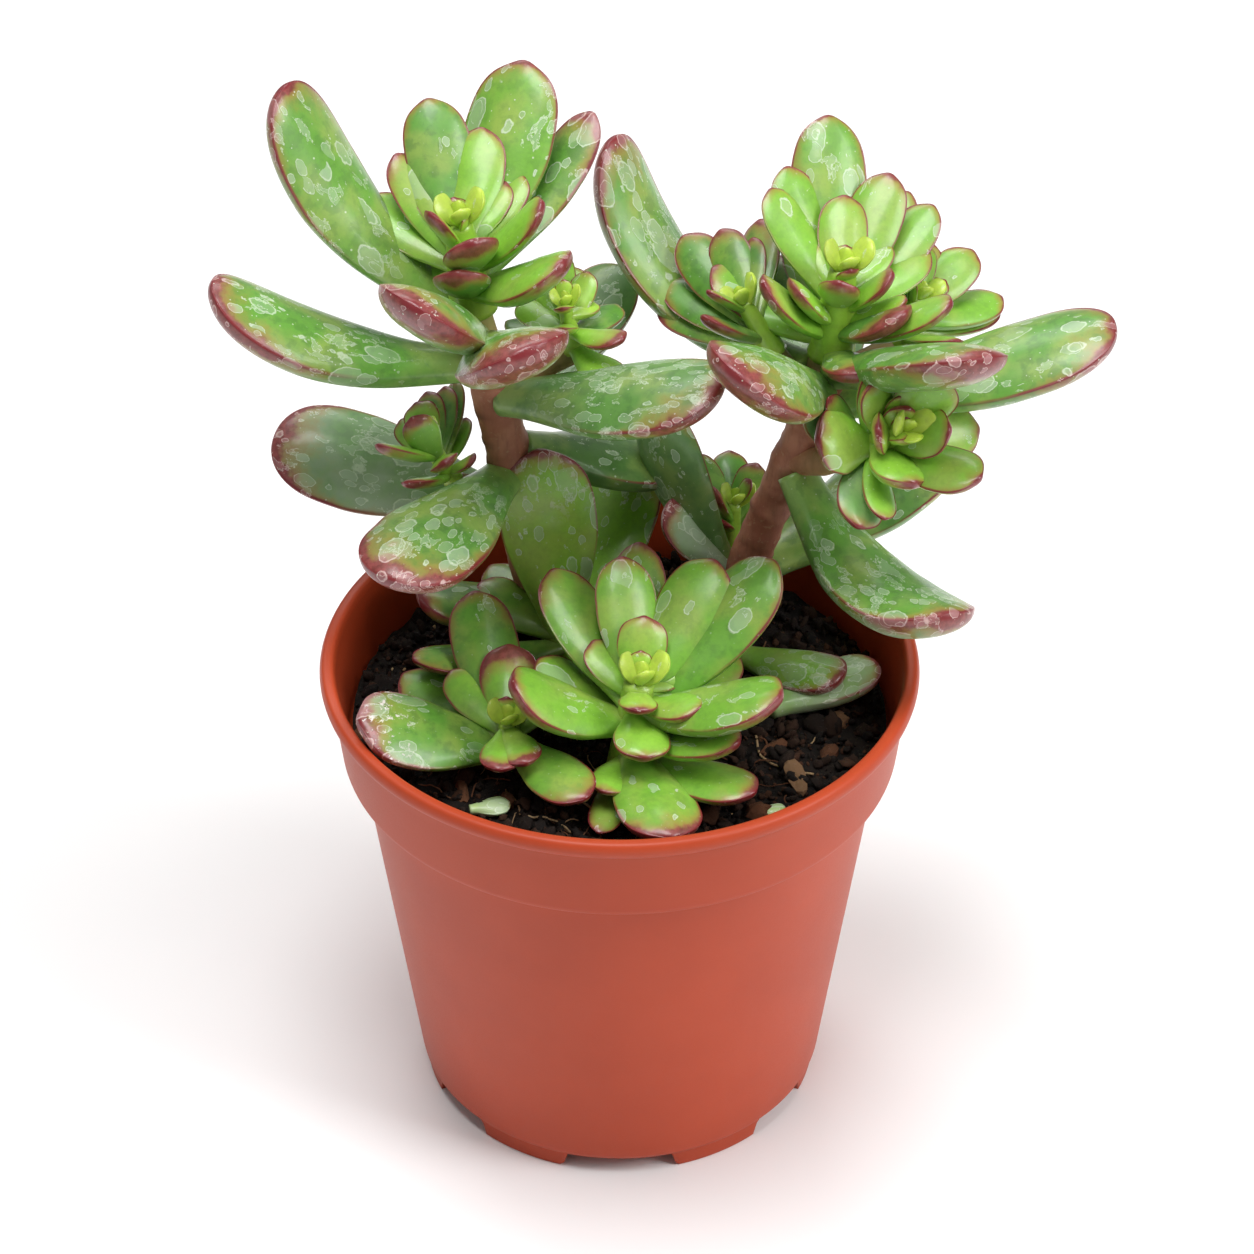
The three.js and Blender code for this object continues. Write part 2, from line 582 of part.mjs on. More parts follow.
const finishes = { [colours.pot]: 0.45, [colours.soil]: 0.95, [colours.stem]: 0.75 };
const potted = new THREE.Group();
function addMesh(name, solid, colour) {
  const roughness = finishes[colour] ?? 0.4;
  const material = new THREE.MeshStandardMaterial({ color: colour, roughness, metalness: 0 });
  const mesh = new THREE.Mesh(toGeometry(solid), material);
  mesh.name = name;
  potted.add(mesh);
}
addMesh('pot', potSolid(), colours.pot);
addMesh('soil', mainBody(soilBody), colours.soil);
for (const { name, solid, colour } of plant) addMesh(name, solid, colour);
potted.position.set(-footprintMiddle.x, -footprintMiddle.y, 0);

export default potted;
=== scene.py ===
import math

import bpy
import numpy as np
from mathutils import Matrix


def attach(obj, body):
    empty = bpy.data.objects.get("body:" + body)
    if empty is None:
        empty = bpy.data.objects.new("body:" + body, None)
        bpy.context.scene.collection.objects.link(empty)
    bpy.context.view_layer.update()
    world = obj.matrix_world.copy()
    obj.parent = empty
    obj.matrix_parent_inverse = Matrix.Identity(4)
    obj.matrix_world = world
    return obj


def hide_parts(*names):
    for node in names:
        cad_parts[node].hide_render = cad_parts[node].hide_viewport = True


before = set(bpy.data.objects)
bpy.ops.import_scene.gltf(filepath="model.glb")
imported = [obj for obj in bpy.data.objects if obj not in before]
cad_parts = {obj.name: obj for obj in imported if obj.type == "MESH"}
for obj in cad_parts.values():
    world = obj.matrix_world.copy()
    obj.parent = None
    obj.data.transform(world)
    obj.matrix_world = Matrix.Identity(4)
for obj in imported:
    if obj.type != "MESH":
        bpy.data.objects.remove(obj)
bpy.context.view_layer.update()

# A branching succulent in a plastic nursery pot. Rows and outlines below are in millimetres and laid out
# round the pot's own axis, with the feet at height 0; every mesh is put into the frame in metres.
mm = 0.001
potAxis = np.array([-7.1, -3.6, 0.0])  # where the pot's axis stands in the frame, in millimetres


# Meshes

def gridFaces(rows, cols):
    # Four-sided faces between neighbouring rings of one grid, closed round each ring.
    r, c = np.meshgrid(np.arange(rows - 1), np.arange(cols), indexing="ij")
    nextCol = (c + 1) % cols
    low = r * cols
    high = low + cols
    return np.stack([low + c, low + nextCol, high + nextCol, high + c], axis=-1).reshape(-1, 4)


def fanFaces(ring, pole, outward):
    # Triangles from one pole to the ring of points beside it.
    after = np.roll(ring, -1)
    tip = np.full(len(ring), pole)
    order = (ring, after, tip) if outward else (after, ring, tip)
    return np.stack(order, axis=-1)


def tubePart(rings, start, end, marks=None):
    # One closed surface from rings of points, with a pole point at each end. marks gives each
    # attribute's values on the rings, and the poles take the mean of the ring beside them.
    rows, cols, _ = rings.shape
    startPole, endPole = rows * cols, rows * cols + 1
    part = {
        "points": np.vstack([rings.reshape(-1, 3), start[None, :], end[None, :]]),
        "quads": gridFaces(rows, cols),
        "tris": np.vstack([
            fanFaces(np.arange(cols), startPole, False),
            fanFaces(np.arange((rows - 1) * cols, rows * cols), endPole, True),
        ]),
        "smooth": True,
        "marks": {},
    }
    for name, values in (marks or {}).items():
        flat = values.reshape(-1, 3)
        part["marks"][name] = np.vstack([flat, flat[:cols].mean(axis=0), flat[-cols:].mean(axis=0)])
    return part


def evenMark(shape, values):
    # The same three values on every point of a grid.
    return np.broadcast_to(np.array(values, float), shape).copy()


def makePiece(name, parts, material, nodes):
    # All the parts joined in one mesh, put into the frame, riding on the object's one body.
    counts = [len(part["points"]) for part in parts]
    firsts = np.concatenate([[0], np.cumsum(counts)[:-1]]).astype(int)
    points = np.vstack([part["points"] for part in parts])
    quads = np.vstack([part["quads"] + first for part, first in zip(parts, firsts)])
    tris = np.vstack([part["tris"] + first for part, first in zip(parts, firsts)])
    corners = np.concatenate([quads.ravel(), tris.ravel()])
    sizes = np.concatenate([np.full(len(quads), 4), np.full(len(tris), 3)])
    starts = np.concatenate([[0], np.cumsum(sizes)[:-1]])
    mesh = bpy.data.meshes.new(name)
    mesh.vertices.add(len(points))
    mesh.vertices.foreach_set("co", ((points + potAxis) * mm).astype(np.float32).ravel())
    mesh.loops.add(len(corners))
    mesh.loops.foreach_set("vertex_index", corners.astype(np.int32))
    mesh.polygons.add(len(sizes))
    mesh.polygons.foreach_set("loop_start", starts.astype(np.int32))
    mesh.polygons.foreach_set("loop_total", sizes.astype(np.int32))
    smooth = np.concatenate([
        *[np.full(len(part["quads"]), part["smooth"]) for part in parts],
        *[np.full(len(part["tris"]), part["smooth"]) for part in parts],
    ])
    mesh.polygons.foreach_set("use_smooth", smooth)
    for mark in parts[0]["marks"]:
        values = np.vstack([part["marks"][mark] for part in parts])
        layer = mesh.attributes.new(mark, "FLOAT_VECTOR", "POINT")
        layer.data.foreach_set("vector", values.astype(np.float32).ravel())
    mesh.update()
    mesh.validate()
    mesh.materials.append(material)
    piece = bpy.data.objects.new(name, mesh)
    bpy.context.scene.collection.objects.link(piece)
    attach(piece, "root")
    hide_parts(*nodes)
    return piece


def ripple(points, wavelength, seed):
    # A smooth uneven field between about -1 and 1: a sum of sine waves in seeded directions.
    waves = 7
    draw = np.random.default_rng(seed)
    heading = draw.normal(size=(waves, 3))
    heading /= np.linalg.norm(heading, axis=1, keepdims=True)
    stretch = draw.uniform(0.7, 1.5, waves)
    phase = draw.uniform(0, 2 * math.pi, waves)
    turns = points @ (heading * stretch[:, None]).T * (2 * math.pi / wavelength)
    return np.sin(turns + phase).mean(axis=-1) * math.sqrt(waves) * 0.6


def smoothStep(t):
    # From 0 to 1 with a level start and end: three squares less two cubes.
    t = np.clip(t, 0, 1)
    return t * t * (3 - 2 * t)


# Shader help

def nodeOf(tree, kind, **values):
    node = tree.nodes.new(kind)
    for key, value in values.items():
        setattr(node, key, value)
    return node


def feed(tree, value, socket):
    # Links an output, or sets a plain value.
    if isinstance(value, bpy.types.NodeSocket):
        tree.links.new(value, socket)
    else:
        socket.default_value = value


def calc(tree, operation, *values):
    node = nodeOf(tree, "ShaderNodeMath", operation=operation)
    for value, socket in zip(values, node.inputs):
        feed(tree, value, socket)
    return node.outputs[0]


def vectorCalc(tree, operation, *values):
    node = nodeOf(tree, "ShaderNodeVectorMath", operation=operation)
    for value, socket in zip(values, node.inputs):
        feed(tree, value, socket)
    return node.outputs[0]


def ramp(tree, value, low, high, bottom=0.0, top=1.0):
    # A smooth step of value from low to high, put out between bottom and top.
    node = nodeOf(tree, "ShaderNodeMapRange", interpolation_type="SMOOTHSTEP")
    for item, socket in zip((value, low, high, bottom, top), node.inputs):
        feed(tree, item, socket)
    return node.outputs[0]


def blendColour(tree, share, a, b):
    node = nodeOf(tree, "ShaderNodeMix", data_type="RGBA")
    feed(tree, share, node.inputs["Factor"])
    feed(tree, a, node.inputs[6])
    feed(tree, b, node.inputs[7])
    return node.outputs[2]


def noiseNode(tree, place, scale, detail, rough, distort=0.0):
    node = nodeOf(tree, "ShaderNodeTexNoise")
    feed(tree, place, node.inputs["Vector"])
    feed(tree, scale, node.inputs["Scale"])
    node.inputs["Detail"].default_value = detail
    node.inputs["Roughness"].default_value = rough
    node.inputs["Distortion"].default_value = distort
    return node


def noise(tree, place, scale, detail, rough, distort=0.0):
    return noiseNode(tree, place, scale, detail, rough, distort).outputs["Fac"]


def voronoi(tree, place, scale):
    # The distance to the middle of the cell that a point is in, and three numbers drawn for the cell.
    node = nodeOf(tree, "ShaderNodeTexVoronoi")
    feed(tree, place, node.inputs["Vector"])
    feed(tree, scale, node.inputs["Scale"])
    return node.outputs["Distance"], parts3(tree, node.outputs["Color"])


def rgb(red, green, blue):
    # A colour given as it looks on a screen, from 0 to 255, as the linear value that a shader takes.
    share = np.array([red, green, blue]) / 255
    linear = np.where(share <= 0.04045, share / 12.92, ((share + 0.055) / 1.055) ** 2.4)
    return (*linear.tolist(), 1.0)


def newGroup(name, inputs, outputs):
    group = bpy.data.node_groups.new(name, "ShaderNodeTree")
    for label, kind, value in inputs:
        socket = group.interface.new_socket(label, in_out="INPUT", socket_type=kind)
        if value is not None:
            socket.default_value = value
    for label, kind in outputs:
        group.interface.new_socket(label, in_out="OUTPUT", socket_type=kind)
    return group, nodeOf(group, "NodeGroupInput").outputs, nodeOf(group, "NodeGroupOutput").inputs


def useGroup(tree, group, **values):
    node = nodeOf(tree, "ShaderNodeGroup", node_tree=group)
    for key, value in values.items():
        feed(tree, value, node.inputs[key])
    return node.outputs


def attribute(tree, name):
    # The three numbers that a piece's mesh holds at each point under this name.
    return parts3(tree, attributeVector(tree, name))


def attributeVector(tree, name):
    return nodeOf(tree, "ShaderNodeAttribute", attribute_name=name).outputs["Vector"]


def parts3(tree, vector):
    node = nodeOf(tree, "ShaderNodeSeparateXYZ")
    feed(tree, vector, node.inputs[0])
    return node.outputs


def objectPlace(tree, scale=(1000, 1000, 1000)):
    # Object coordinates in millimetres; a smaller scale on an axis draws a pattern out along it.
    node = nodeOf(tree, "ShaderNodeMapping")
    feed(tree, nodeOf(tree, "ShaderNodeTexCoord").outputs["Object"], node.inputs["Vector"])
    node.inputs["Scale"].default_value = scale
    return node.outputs[0]


def newMaterial(name):
    material = bpy.data.materials.new(name)
    material.use_nodes = True
    tree = material.node_tree
    tree.nodes.clear()
    shader = nodeOf(tree, "ShaderNodeBsdfPrincipled")
    out = nodeOf(tree, "ShaderNodeOutputMaterial")
    tree.links.new(shader.outputs[0], out.inputs[0])
    return material, tree, shader.inputs


def bump(tree, height, strength, distance):
    node = nodeOf(tree, "ShaderNodeBump")
    node.inputs["Strength"].default_value = strength
    node.inputs["Distance"].default_value = distance
    feed(tree, height, node.inputs["Height"])
    return node.outputs[0]


# Leaf skin

patchForm = {
    "wobble": (1.9, 1.6, 1.6),    # how far the outlines stray, in millimetres
    "stretch": (0.55, 1.0, 1.0),  # below 1 draws the patches out along the leaf
    "leastSize": 0.18,            # a single patch's radius as a share of its cell
    "moreSize": 0.32,             # what the draw adds to it at most
    "rimPlace": 0.012,
    "rimWidth": 0.035,
    "sheetLimit": 0.69,           # noise above this is a broad patch, less what Amount takes off
    "sheetFall": 0.11,
    "sheetRim": 0.007,
    "sheetStrength": 0.6,
    "largeCell": 4.6,             # millimetres
    "smallCell": 2.3,
    "smallAmount": 0.9,           # how many small patches there are for the large ones
    "apart": (31.0, 17.0, 9.0),   # puts the small patches on another stretch of the pattern
    "strength": 0.5,
    "rimStrength": 0.6,
    "dotStrength": 0.7,
    "dotSize": 0.13,
    "dotScale": 0.75,
}
leafColours = {
    "bud": rgb(196, 222, 82),
    "young": rgb(140, 196, 58),
    "fresh": rgb(98, 158, 52),
    "old": rgb(84, 124, 60),
    "yellowed": rgb(166, 184, 80),
    "root": rgb(178, 198, 112),
    "deep": rgb(58, 104, 38),
    "speck": rgb(56, 96, 40),
    "under": rgb(108, 146, 88),
    "bloom": rgb(158, 178, 150),
    "tan": rgb(158, 124, 62),
    "darkWine": rgb(112, 36, 46),
    "paleWine": rgb(150, 66, 72),
    "line": rgb(124, 34, 40),
    "patchOnGreen": rgb(184, 206, 176),
    "patchOnRed": rgb(192, 148, 148),
    "rimOnGreen": rgb(216, 228, 204),
    "rimOnRed": rgb(230, 204, 198),
    "dot": rgb(226, 232, 214),
    "scab": rgb(236, 228, 222),
}


# Pale dried patches on the skin of a leaf, each with a paler rim. Broad ones are where a scalloped noise
# is above a limit that falls as Amount grows. Single ones are cells of a stretched, wobbling Voronoi
# pattern, kept at random and each of its own size. Place is in millimetres.
def skinPatchGroup():
    f = patchForm
    group, given, out = newGroup(
        "skinPatches",
        [("Place", "NodeSocketVector", None), ("Amount", "NodeSocketFloat", 0.5),
         ("Cell", "NodeSocketFloat", 5.0)],
        [("Blot", "NodeSocketFloat"), ("Rim", "NodeSocketFloat")],
    )
    place, amount, cell = given["Place"], given["Amount"], given["Cell"]
    wobble = noiseNode(group, place, 0.32, 3.0, 0.6).outputs["Color"]
    shifted = vectorCalc(group, "MULTIPLY_ADD", wobble, f["wobble"], place)
    stretched = vectorCalc(group, "MULTIPLY", shifted, f["stretch"])
    distance, pick = voronoi(group, stretched, calc(group, "DIVIDE", 1.0, cell))
    kept = calc(group, "LESS_THAN", pick[0], amount)
    radius = calc(group, "MULTIPLY_ADD", pick[1], f["moreSize"], f["leastSize"])
    inside = calc(group, "SUBTRACT", radius, distance)
    blot = calc(group, "MULTIPLY", ramp(group, inside, -0.015, 0.03), kept)
    nearRim = calc(group, "ABSOLUTE", calc(group, "SUBTRACT", inside, f["rimPlace"]))
    rim = calc(group, "MULTIPLY", ramp(group, nearRim, f["rimWidth"], 0.0), kept)
    single = calc(group, "MULTIPLY", blot, calc(group, "MULTIPLY_ADD", pick[2], 0.6, 0.4))
    scallops = noise(group, stretched, 0.2, 5.0, 0.62, 0.4)
    limit = calc(group, "MULTIPLY_ADD", amount, -f["sheetFall"], f["sheetLimit"])
    above = calc(group, "SUBTRACT", scallops, limit)
    sheet = ramp(group, above, 0.0, 0.03, 0.0, f["sheetStrength"])
    nearSheetRim = calc(group, "ABSOLUTE", calc(group, "SUBTRACT", above, f["sheetRim"]))
    sheetRim = ramp(group, nearSheetRim, 2 * f["sheetRim"], 0.0)
    feed(group, calc(group, "MAXIMUM", single, sheet), out["Blot"])
    feed(group, calc(group, "MAXIMUM", rim, sheetRim), out["Rim"])
    return group


# The colour of a fleshy leaf before its patches: fresh or old green that goes over tan to red at the
# margin and the tip. Edge is the distance to the margin in millimetres, above 0 on the upper face.
def leafPaintGroup():
    inks = leafColours
    group, given, out = newGroup(
        "leafPaint",
        [("Place", "NodeSocketVector", None), ("Edge", "NodeSocketFloat", 1.0),
         ("Along", "NodeSocketFloat", 0.5), ("Age", "NodeSocketFloat", 0.5),
         ("Red", "NodeSocketFloat", 0.5), ("Wax", "NodeSocketFloat", 0.0)],
        [("Color", "NodeSocketColor"), ("Redness", "NodeSocketFloat"), ("Mottle", "NodeSocketFloat")],
    )
    place, edge, along = given["Place"], given["Edge"], given["Along"]
    age, red, wax = given["Age"], given["Red"], given["Wax"]
    broad = noise(group, place, 0.11, 3.0, 0.5)
    mottle = noise(group, place, 0.34, 4.0, 0.6)
    fine = noise(group, place, 0.9, 4.0, 0.65)

    # Greens
    paint = blendColour(group, ramp(group, age, 0.0, 0.26), inks["bud"], inks["young"])
    paint = blendColour(group, ramp(group, age, 0.2, 0.6), paint, inks["fresh"])
    paint = blendColour(group, ramp(group, age, 0.6, 1.0), paint, inks["old"])
    paint = blendColour(group, ramp(group, broad, 0.40, 0.68, 0.0, 0.6), paint, inks["yellowed"])
    paint = blendColour(group, ramp(group, along, 0.22, 0.0, 0.0, 0.5), paint, inks["root"])
    deepShare = calc(group, "MULTIPLY", ramp(group, mottle, 0.52, 0.38, 0.0, 0.42),
                     ramp(group, age, 0.25, 0.7, 0.25, 1.0))
    paint = blendColour(group, deepShare, paint, inks["deep"])
    paint = blendColour(group, ramp(group, fine, 0.35, 0.75, 0.0, 0.16), paint, inks["speck"])
    paint = blendColour(group, ramp(group, edge, 0.0, -2.5, 0.0, 0.35), paint, inks["under"])
    bloomShare = calc(group, "MULTIPLY", wax, ramp(group, broad, 0.3, 0.65, 0.35, 0.9))
    paint = blendColour(group, bloomShare, paint, inks["bloom"])

    # Tan and wine red, by how near the tip and the margin are
    away = calc(group, "ABSOLUTE", edge)
    closeness = calc(group, "EXPONENT", calc(group, "MULTIPLY", away, -0.6))
    drift = calc(group, "ADD", calc(group, "MULTIPLY_ADD", broad, 0.5, -0.25),
                 calc(group, "MULTIPLY_ADD", mottle, 0.4, -0.2))
    warmth = calc(group, "ADD", along, calc(group, "MULTIPLY_ADD", closeness, 0.36, drift))
    warmth = calc(group, "ADD", warmth, ramp(group, edge, 0.4, -1.2, 0.0, 0.14))
    warmth = calc(group, "ADD", warmth, calc(group, "MULTIPLY_ADD", red, 0.5, -0.5))
    paint = blendColour(group, ramp(group, warmth, 0.70, 0.96, 0.0, 0.7), paint, inks["tan"])
    wine = blendColour(group, ramp(group, fine, 0.3, 0.7), inks["darkWine"], inks["paleWine"])
    paint = blendColour(group, ramp(group, warmth, 0.9, 1.06, 0.0, 0.92), paint, wine)

    # The thin line right on the margin
    lineWidth = calc(group, "MULTIPLY_ADD", red, 0.5, 0.2)
    line = ramp(group, calc(group, "DIVIDE", away, lineWidth), 1.0, 0.25)
    line = calc(group, "MULTIPLY", line, ramp(group, along, 0.28, 0.7))
    line = calc(group, "MULTIPLY", line, ramp(group, red, 0.0, 0.35))
    line = calc(group, "MULTIPLY", line, ramp(group, broad, 0.3, 0.5, 0.45, 0.95))
    feed(group, blendColour(group, line, paint, inks["line"]), out["Color"])
    feed(group, calc(group, "MAXIMUM", ramp(group, warmth, 0.86, 1.02), line), out["Redness"])
    feed(group, fine, out["Mottle"])
    return group


leafPaint = leafPaintGroup()
skinPatches = skinPatchGroup()


def leafMaterial(name, roughness, glow):
    f, inks = patchForm, leafColours
    material, tree, shader = newMaterial(name)
    place = attributeVector(tree, "leafPlace")
    edge, along, _ = attribute(tree, "leafEdge")
    age, red, wax = attribute(tree, "leafTint")
    amount, dust, scar = attribute(tree, "leafMark")
    paint = useGroup(tree, leafPaint, Place=place, Edge=edge, Along=along, Age=age, Red=red, Wax=wax)
    redness, mottle = paint["Redness"], paint["Mottle"]

    # Patches of two sizes, none near the root, with fine dots and dried scabs
    large = useGroup(tree, skinPatches, Place=place, Amount=amount, Cell=f["largeCell"])
    small = useGroup(tree, skinPatches, Place=vectorCalc(tree, "ADD", place, f["apart"]),
                     Amount=calc(tree, "MULTIPLY", amount, f["smallAmount"]), Cell=f["smallCell"])
    fade = ramp(tree, along, 0.12, 0.4)
    blot = calc(tree, "MULTIPLY", calc(tree, "MAXIMUM", large["Blot"], small["Blot"]), fade)
    rim = calc(tree, "MULTIPLY", calc(tree, "MAXIMUM", large["Rim"], small["Rim"]), fade)
    distance, pick = voronoi(tree, place, f["dotScale"])
    dotSize = calc(tree, "MULTIPLY", pick[0], f["dotSize"])
    dot = ramp(tree, calc(tree, "SUBTRACT", distance, dotSize), 0.03, 0.0)
    dot = calc(tree, "MULTIPLY", dot, ramp(tree, dust, 0.0, 1.0))
    crust = noise(tree, place, 0.55, 5.0, 0.7)
    scab = calc(tree, "MULTIPLY", ramp(tree, crust, 0.56, 0.62), scar)
    scab = calc(tree, "MULTIPLY", scab, ramp(tree, along, 0.62, 0.8))

    patchColour = blendColour(tree, redness, inks["patchOnGreen"], inks["patchOnRed"])
    rimColour = blendColour(tree, redness, inks["rimOnGreen"], inks["rimOnRed"])
    colour = blendColour(tree, calc(tree, "MULTIPLY", blot, f["strength"]), paint["Color"], patchColour)
    colour = blendColour(tree, calc(tree, "MULTIPLY", rim, f["rimStrength"]), colour, rimColour)
    colour = blendColour(tree, calc(tree, "MULTIPLY", dot, f["dotStrength"]), colour, inks["dot"])
    feed(tree, blendColour(tree, scab, colour, inks["scab"]), shader["Base Color"])

    rough = calc(tree, "MULTIPLY_ADD", blot, 0.10, roughness)
    rough = calc(tree, "ADD", rough, calc(tree, "MULTIPLY", wax, 0.12))
    rough = calc(tree, "ADD", rough, calc(tree, "MULTIPLY_ADD", mottle, 0.12, -0.06))
    feed(tree, rough, shader["Roughness"])
    relief = calc(tree, "MULTIPLY_ADD", mottle, 0.35, calc(tree, "MULTIPLY", rim, 0.5))
    relief = calc(tree, "ADD", relief, calc(tree, "MULTIPLY", scab, 1.2))
    feed(tree, bump(tree, relief, 0.35, 0.00025), shader["Normal"])
    shader["Subsurface Weight"].default_value = glow
    shader["Subsurface Radius"].default_value = (0.9, 1.3, 0.35)
    shader["Subsurface Scale"].default_value = 0.0016
    shader["Specular IOR Level"].default_value = 0.5
    shader["Coat Weight"].default_value = 0.32
    shader["Coat Roughness"].default_value = 0.16
    return material


youngLeaf = leafMaterial("youngLeaf", 0.38, 0.18)
grownLeaf = leafMaterial("grownLeaf", 0.36, 0.12)
print("leaf skins ready")


# Leaves

leafForm = {
    "rootShare": 0.4,        # width at the root as a share of the full width
    "widest": 0.64,          # place of the full width along the leaf
    "roundness": 3.0,        # how blunt the end is
    "upperShare": 0.42,      # share of the thickness above the midline
    "crownThickness": 0.42,  # thickness as a share of the width
    "largeThickness": 0.44,
    "rootStart": 2.5,        # where a large leaf starts, out from the middle of its stem
    "rootDepth": 0.7,        # thickness at the root as a share of the full one
    "depthFrom": 0.45,       # place along the leaf where it has its full thickness
    "closeFrom": 0.55,       # place where both faces start to close towards the tip
    "topClose": (2.6, 0.55),
    "keelClose": (3.2, 0.45),
    "crease": 0.75,          # how much the upper face dips beside the margin
    "keelRound": 0.92,
    "marginSteps": 0.36,     # closer steps of the mesh at the two margins
    "bead": 0.10,            # height of the fine ridge along the margin
    "beadWidth": 0.16,
    "nibFrom": 0.86,         # where the small point at the tip starts
    "nibWidth": 0.13,
    "dent": 0.22,            # how uneven the skin of an 18 mm wide leaf is
}
worldAxes = np.eye(3)
seeds = {"large": 100, "crown": 1000, "bud": 5000, "lying": 7000}


def leafStations(count):
    # Places along a leaf: even steps to the widest place, then even turns round its blunt end.
    widest, power = leafForm["widest"], leafForm["roundness"]
    body = np.linspace(0, widest, int(count * 0.55), endpoint=False)
    turns = np.linspace(0, math.pi / 2, count - len(body) + 1)[:-1]
    return np.concatenate([body, widest + (1 - widest) * np.sin(turns) ** (2 / power)])


def widthShare(s):
    # From the narrow root up to full width, and then the quarter of a rounded square to the tip.
    root, widest = leafForm["rootShare"], leafForm["widest"]
    swell = root + (1 - root) * smoothStep(s / widest)
    end = np.clip((s - widest) / (1 - widest), 0, 1)
    return np.where(s < widest, swell, np.sqrt(1 - end ** leafForm["roundness"]))


def closeShare(s, powers):
    # How much of the thickness is left near the tip: 1 less the way towards the tip to one power, and the
    # rest to a second power.
    way = np.clip((s - leafForm["closeFrom"]) / (1 - leafForm["closeFrom"]), 0, 1)
    return np.clip(1 - way ** powers[0], 0, 1) ** powers[1]


def marginDistance(points, s, length):
    # The shortest way to the margin, round the ring or on to the tip, below 0 on the under face.
    cols = points.shape[1]
    gaps = np.linalg.norm(np.roll(points, -1, axis=1) - points, axis=2)
    walked = np.concatenate([np.zeros((len(s), 1)), np.cumsum(gaps, axis=1)], axis=1)
    halfWay = cols // 2
    toHalf = np.abs(walked[:, halfWay:halfWay + 1] - walked[:, :-1])
    topWay = np.minimum(walked[:, :-1], toHalf)
    keelWay = np.minimum(toHalf, walked[:, -1:] - walked[:, :-1])
    tipWay = (1 - s)[:, None] * length
    isTop = (np.arange(cols) <= halfWay)[None, :]
    return np.where(isTop, np.minimum(topWay, tipWay), -np.minimum(keelWay, tipWay))


def leafPart(leaf, look, seed, rows, cols):
    # The midline is an arc in the upright plane of the leaf's turn. Round it, the upper face is a flat
    # lens that meets the rounder under face in a crease, which is the leaf's margin.
    f = leafForm
    right, back, up = leaf["axes"]
    length, width, thickness = leaf["length"], leaf["width"], leaf["thickness"]
    turn, rise, curl, roll = (math.radians(leaf[key]) for key in ("turn", "rise", "curl", "roll"))
    bend = curl or 0.002  # a straight leaf is an arc with next to no bend
    ahead = right * math.cos(turn) + back * math.sin(turn)
    start = rise - bend / 2
    radius = length / (2 * math.sin(bend / 2))
    s = leafStations(rows)

    def midline(at):
        now = start + bend * at
        forward = radius * (np.sin(now) - math.sin(start))
        upward = radius * (math.cos(start) - np.cos(now))
        return leaf["root"] + forward[:, None] * ahead + upward[:, None] * up

    now = (start + bend * s)[:, None]
    along = ahead * np.cos(now) + up * np.sin(now)
    normal = up * np.cos(now) - ahead * np.sin(now)
    side = np.cross(normal, along)
    across = side * math.cos(roll) + normal * math.sin(roll)
    out = normal * math.cos(roll) - side * math.sin(roll)

    # The cross-section: x across the leaf and z out of its upper face
    around = np.linspace(0, 2 * math.pi, cols, endpoint=False)
    q = around - f["marginSteps"] * np.sin(2 * around)
    wave = np.sin(q)[None, :]
    half = width / 2 * widthShare(s)[:, None]
    depth = thickness * (f["rootDepth"] + (1 - f["rootDepth"]) * smoothStep(s / f["depthFrom"])[:, None])
    topClose = closeShare(s, f["topClose"])[:, None]
    keelClose = closeShare(s, f["keelClose"])[:, None]
    crease = 1 + f["crease"] * smoothStep((s - 0.1) / 0.5)[:, None]
    top = f["upperShare"] * depth * topClose * np.abs(wave) ** crease
    keel = (1 - f["upperShare"]) * depth * keelClose * np.abs(wave) ** f["keelRound"]
    x = half * np.cos(q)[None, :]
    hollow = look.get("hollow", 0.0) * depth / thickness * topClose * np.exp(-(x / (0.55 * half + 1e-6)) ** 2)
    z = np.where(wave >= 0, top - hollow * np.abs(wave), -keel)
    bead = f["bead"] * np.exp(-(wave / f["beadWidth"]) ** 2) * smoothStep(s / 0.5)[:, None]
    x = x + np.sign(np.cos(q))[None, :] * bead * np.minimum(1, half / 1.5)
    z = z + bead * 0.8 * (wave >= -0.02)

    nib = look.get("nib", 0.0)
    point = nib * np.exp(-(x / (f["nibWidth"] * width)) ** 2)
    point = point * smoothStep((s[:, None] - f["nibFrom"]) / (1 - f["nibFrom"]))
    points = midline(s)[:, None, :] + across[:, None, :] * x[:, :, None]
    points = points + out[:, None, :] * z[:, :, None] + along[:, None, :] * point[:, :, None]
    local = np.stack([np.broadcast_to(s[:, None] * length, x.shape), x, z], axis=-1)
    uneven = ripple(local, 0.42 * length, seed) * 0.7 + ripple(local, 0.2 * length, seed + 1) * 0.3
    uneven = uneven * f["dent"] * width / 18 * smoothStep(s / 0.25)[:, None]
    uneven = uneven * np.minimum(1, half / (0.3 * width))
    outward = across[:, None, :] * np.cos(q)[None, :, None] + out[:, None, :] * wave[:, :, None]
    points = points + outward * uneven[:, :, None]

    edge = marginDistance(points, s, length)
    draw = np.random.default_rng(seed)
    marks = {
        "leafPlace": local + draw.uniform(-300, 300, 3),
        "leafEdge": np.stack([edge, np.broadcast_to(s[:, None], edge.shape), np.zeros_like(edge)], axis=-1),
        "leafTint": evenMark(points.shape, (look["age"], look["red"], look["wax"])),
        "leafMark": evenMark(points.shape, (look["patches"], look["dots"], look.get("scab", 0.0))),
    }
    tip = midline(np.array([1.0]))[0] + along[-1] * nib
    part = tubePart(points, midline(s[:1])[0], tip, marks)
    part["marks"]["leafEdge"][-1] = (0.0, 1.0, 0.0)
    return part


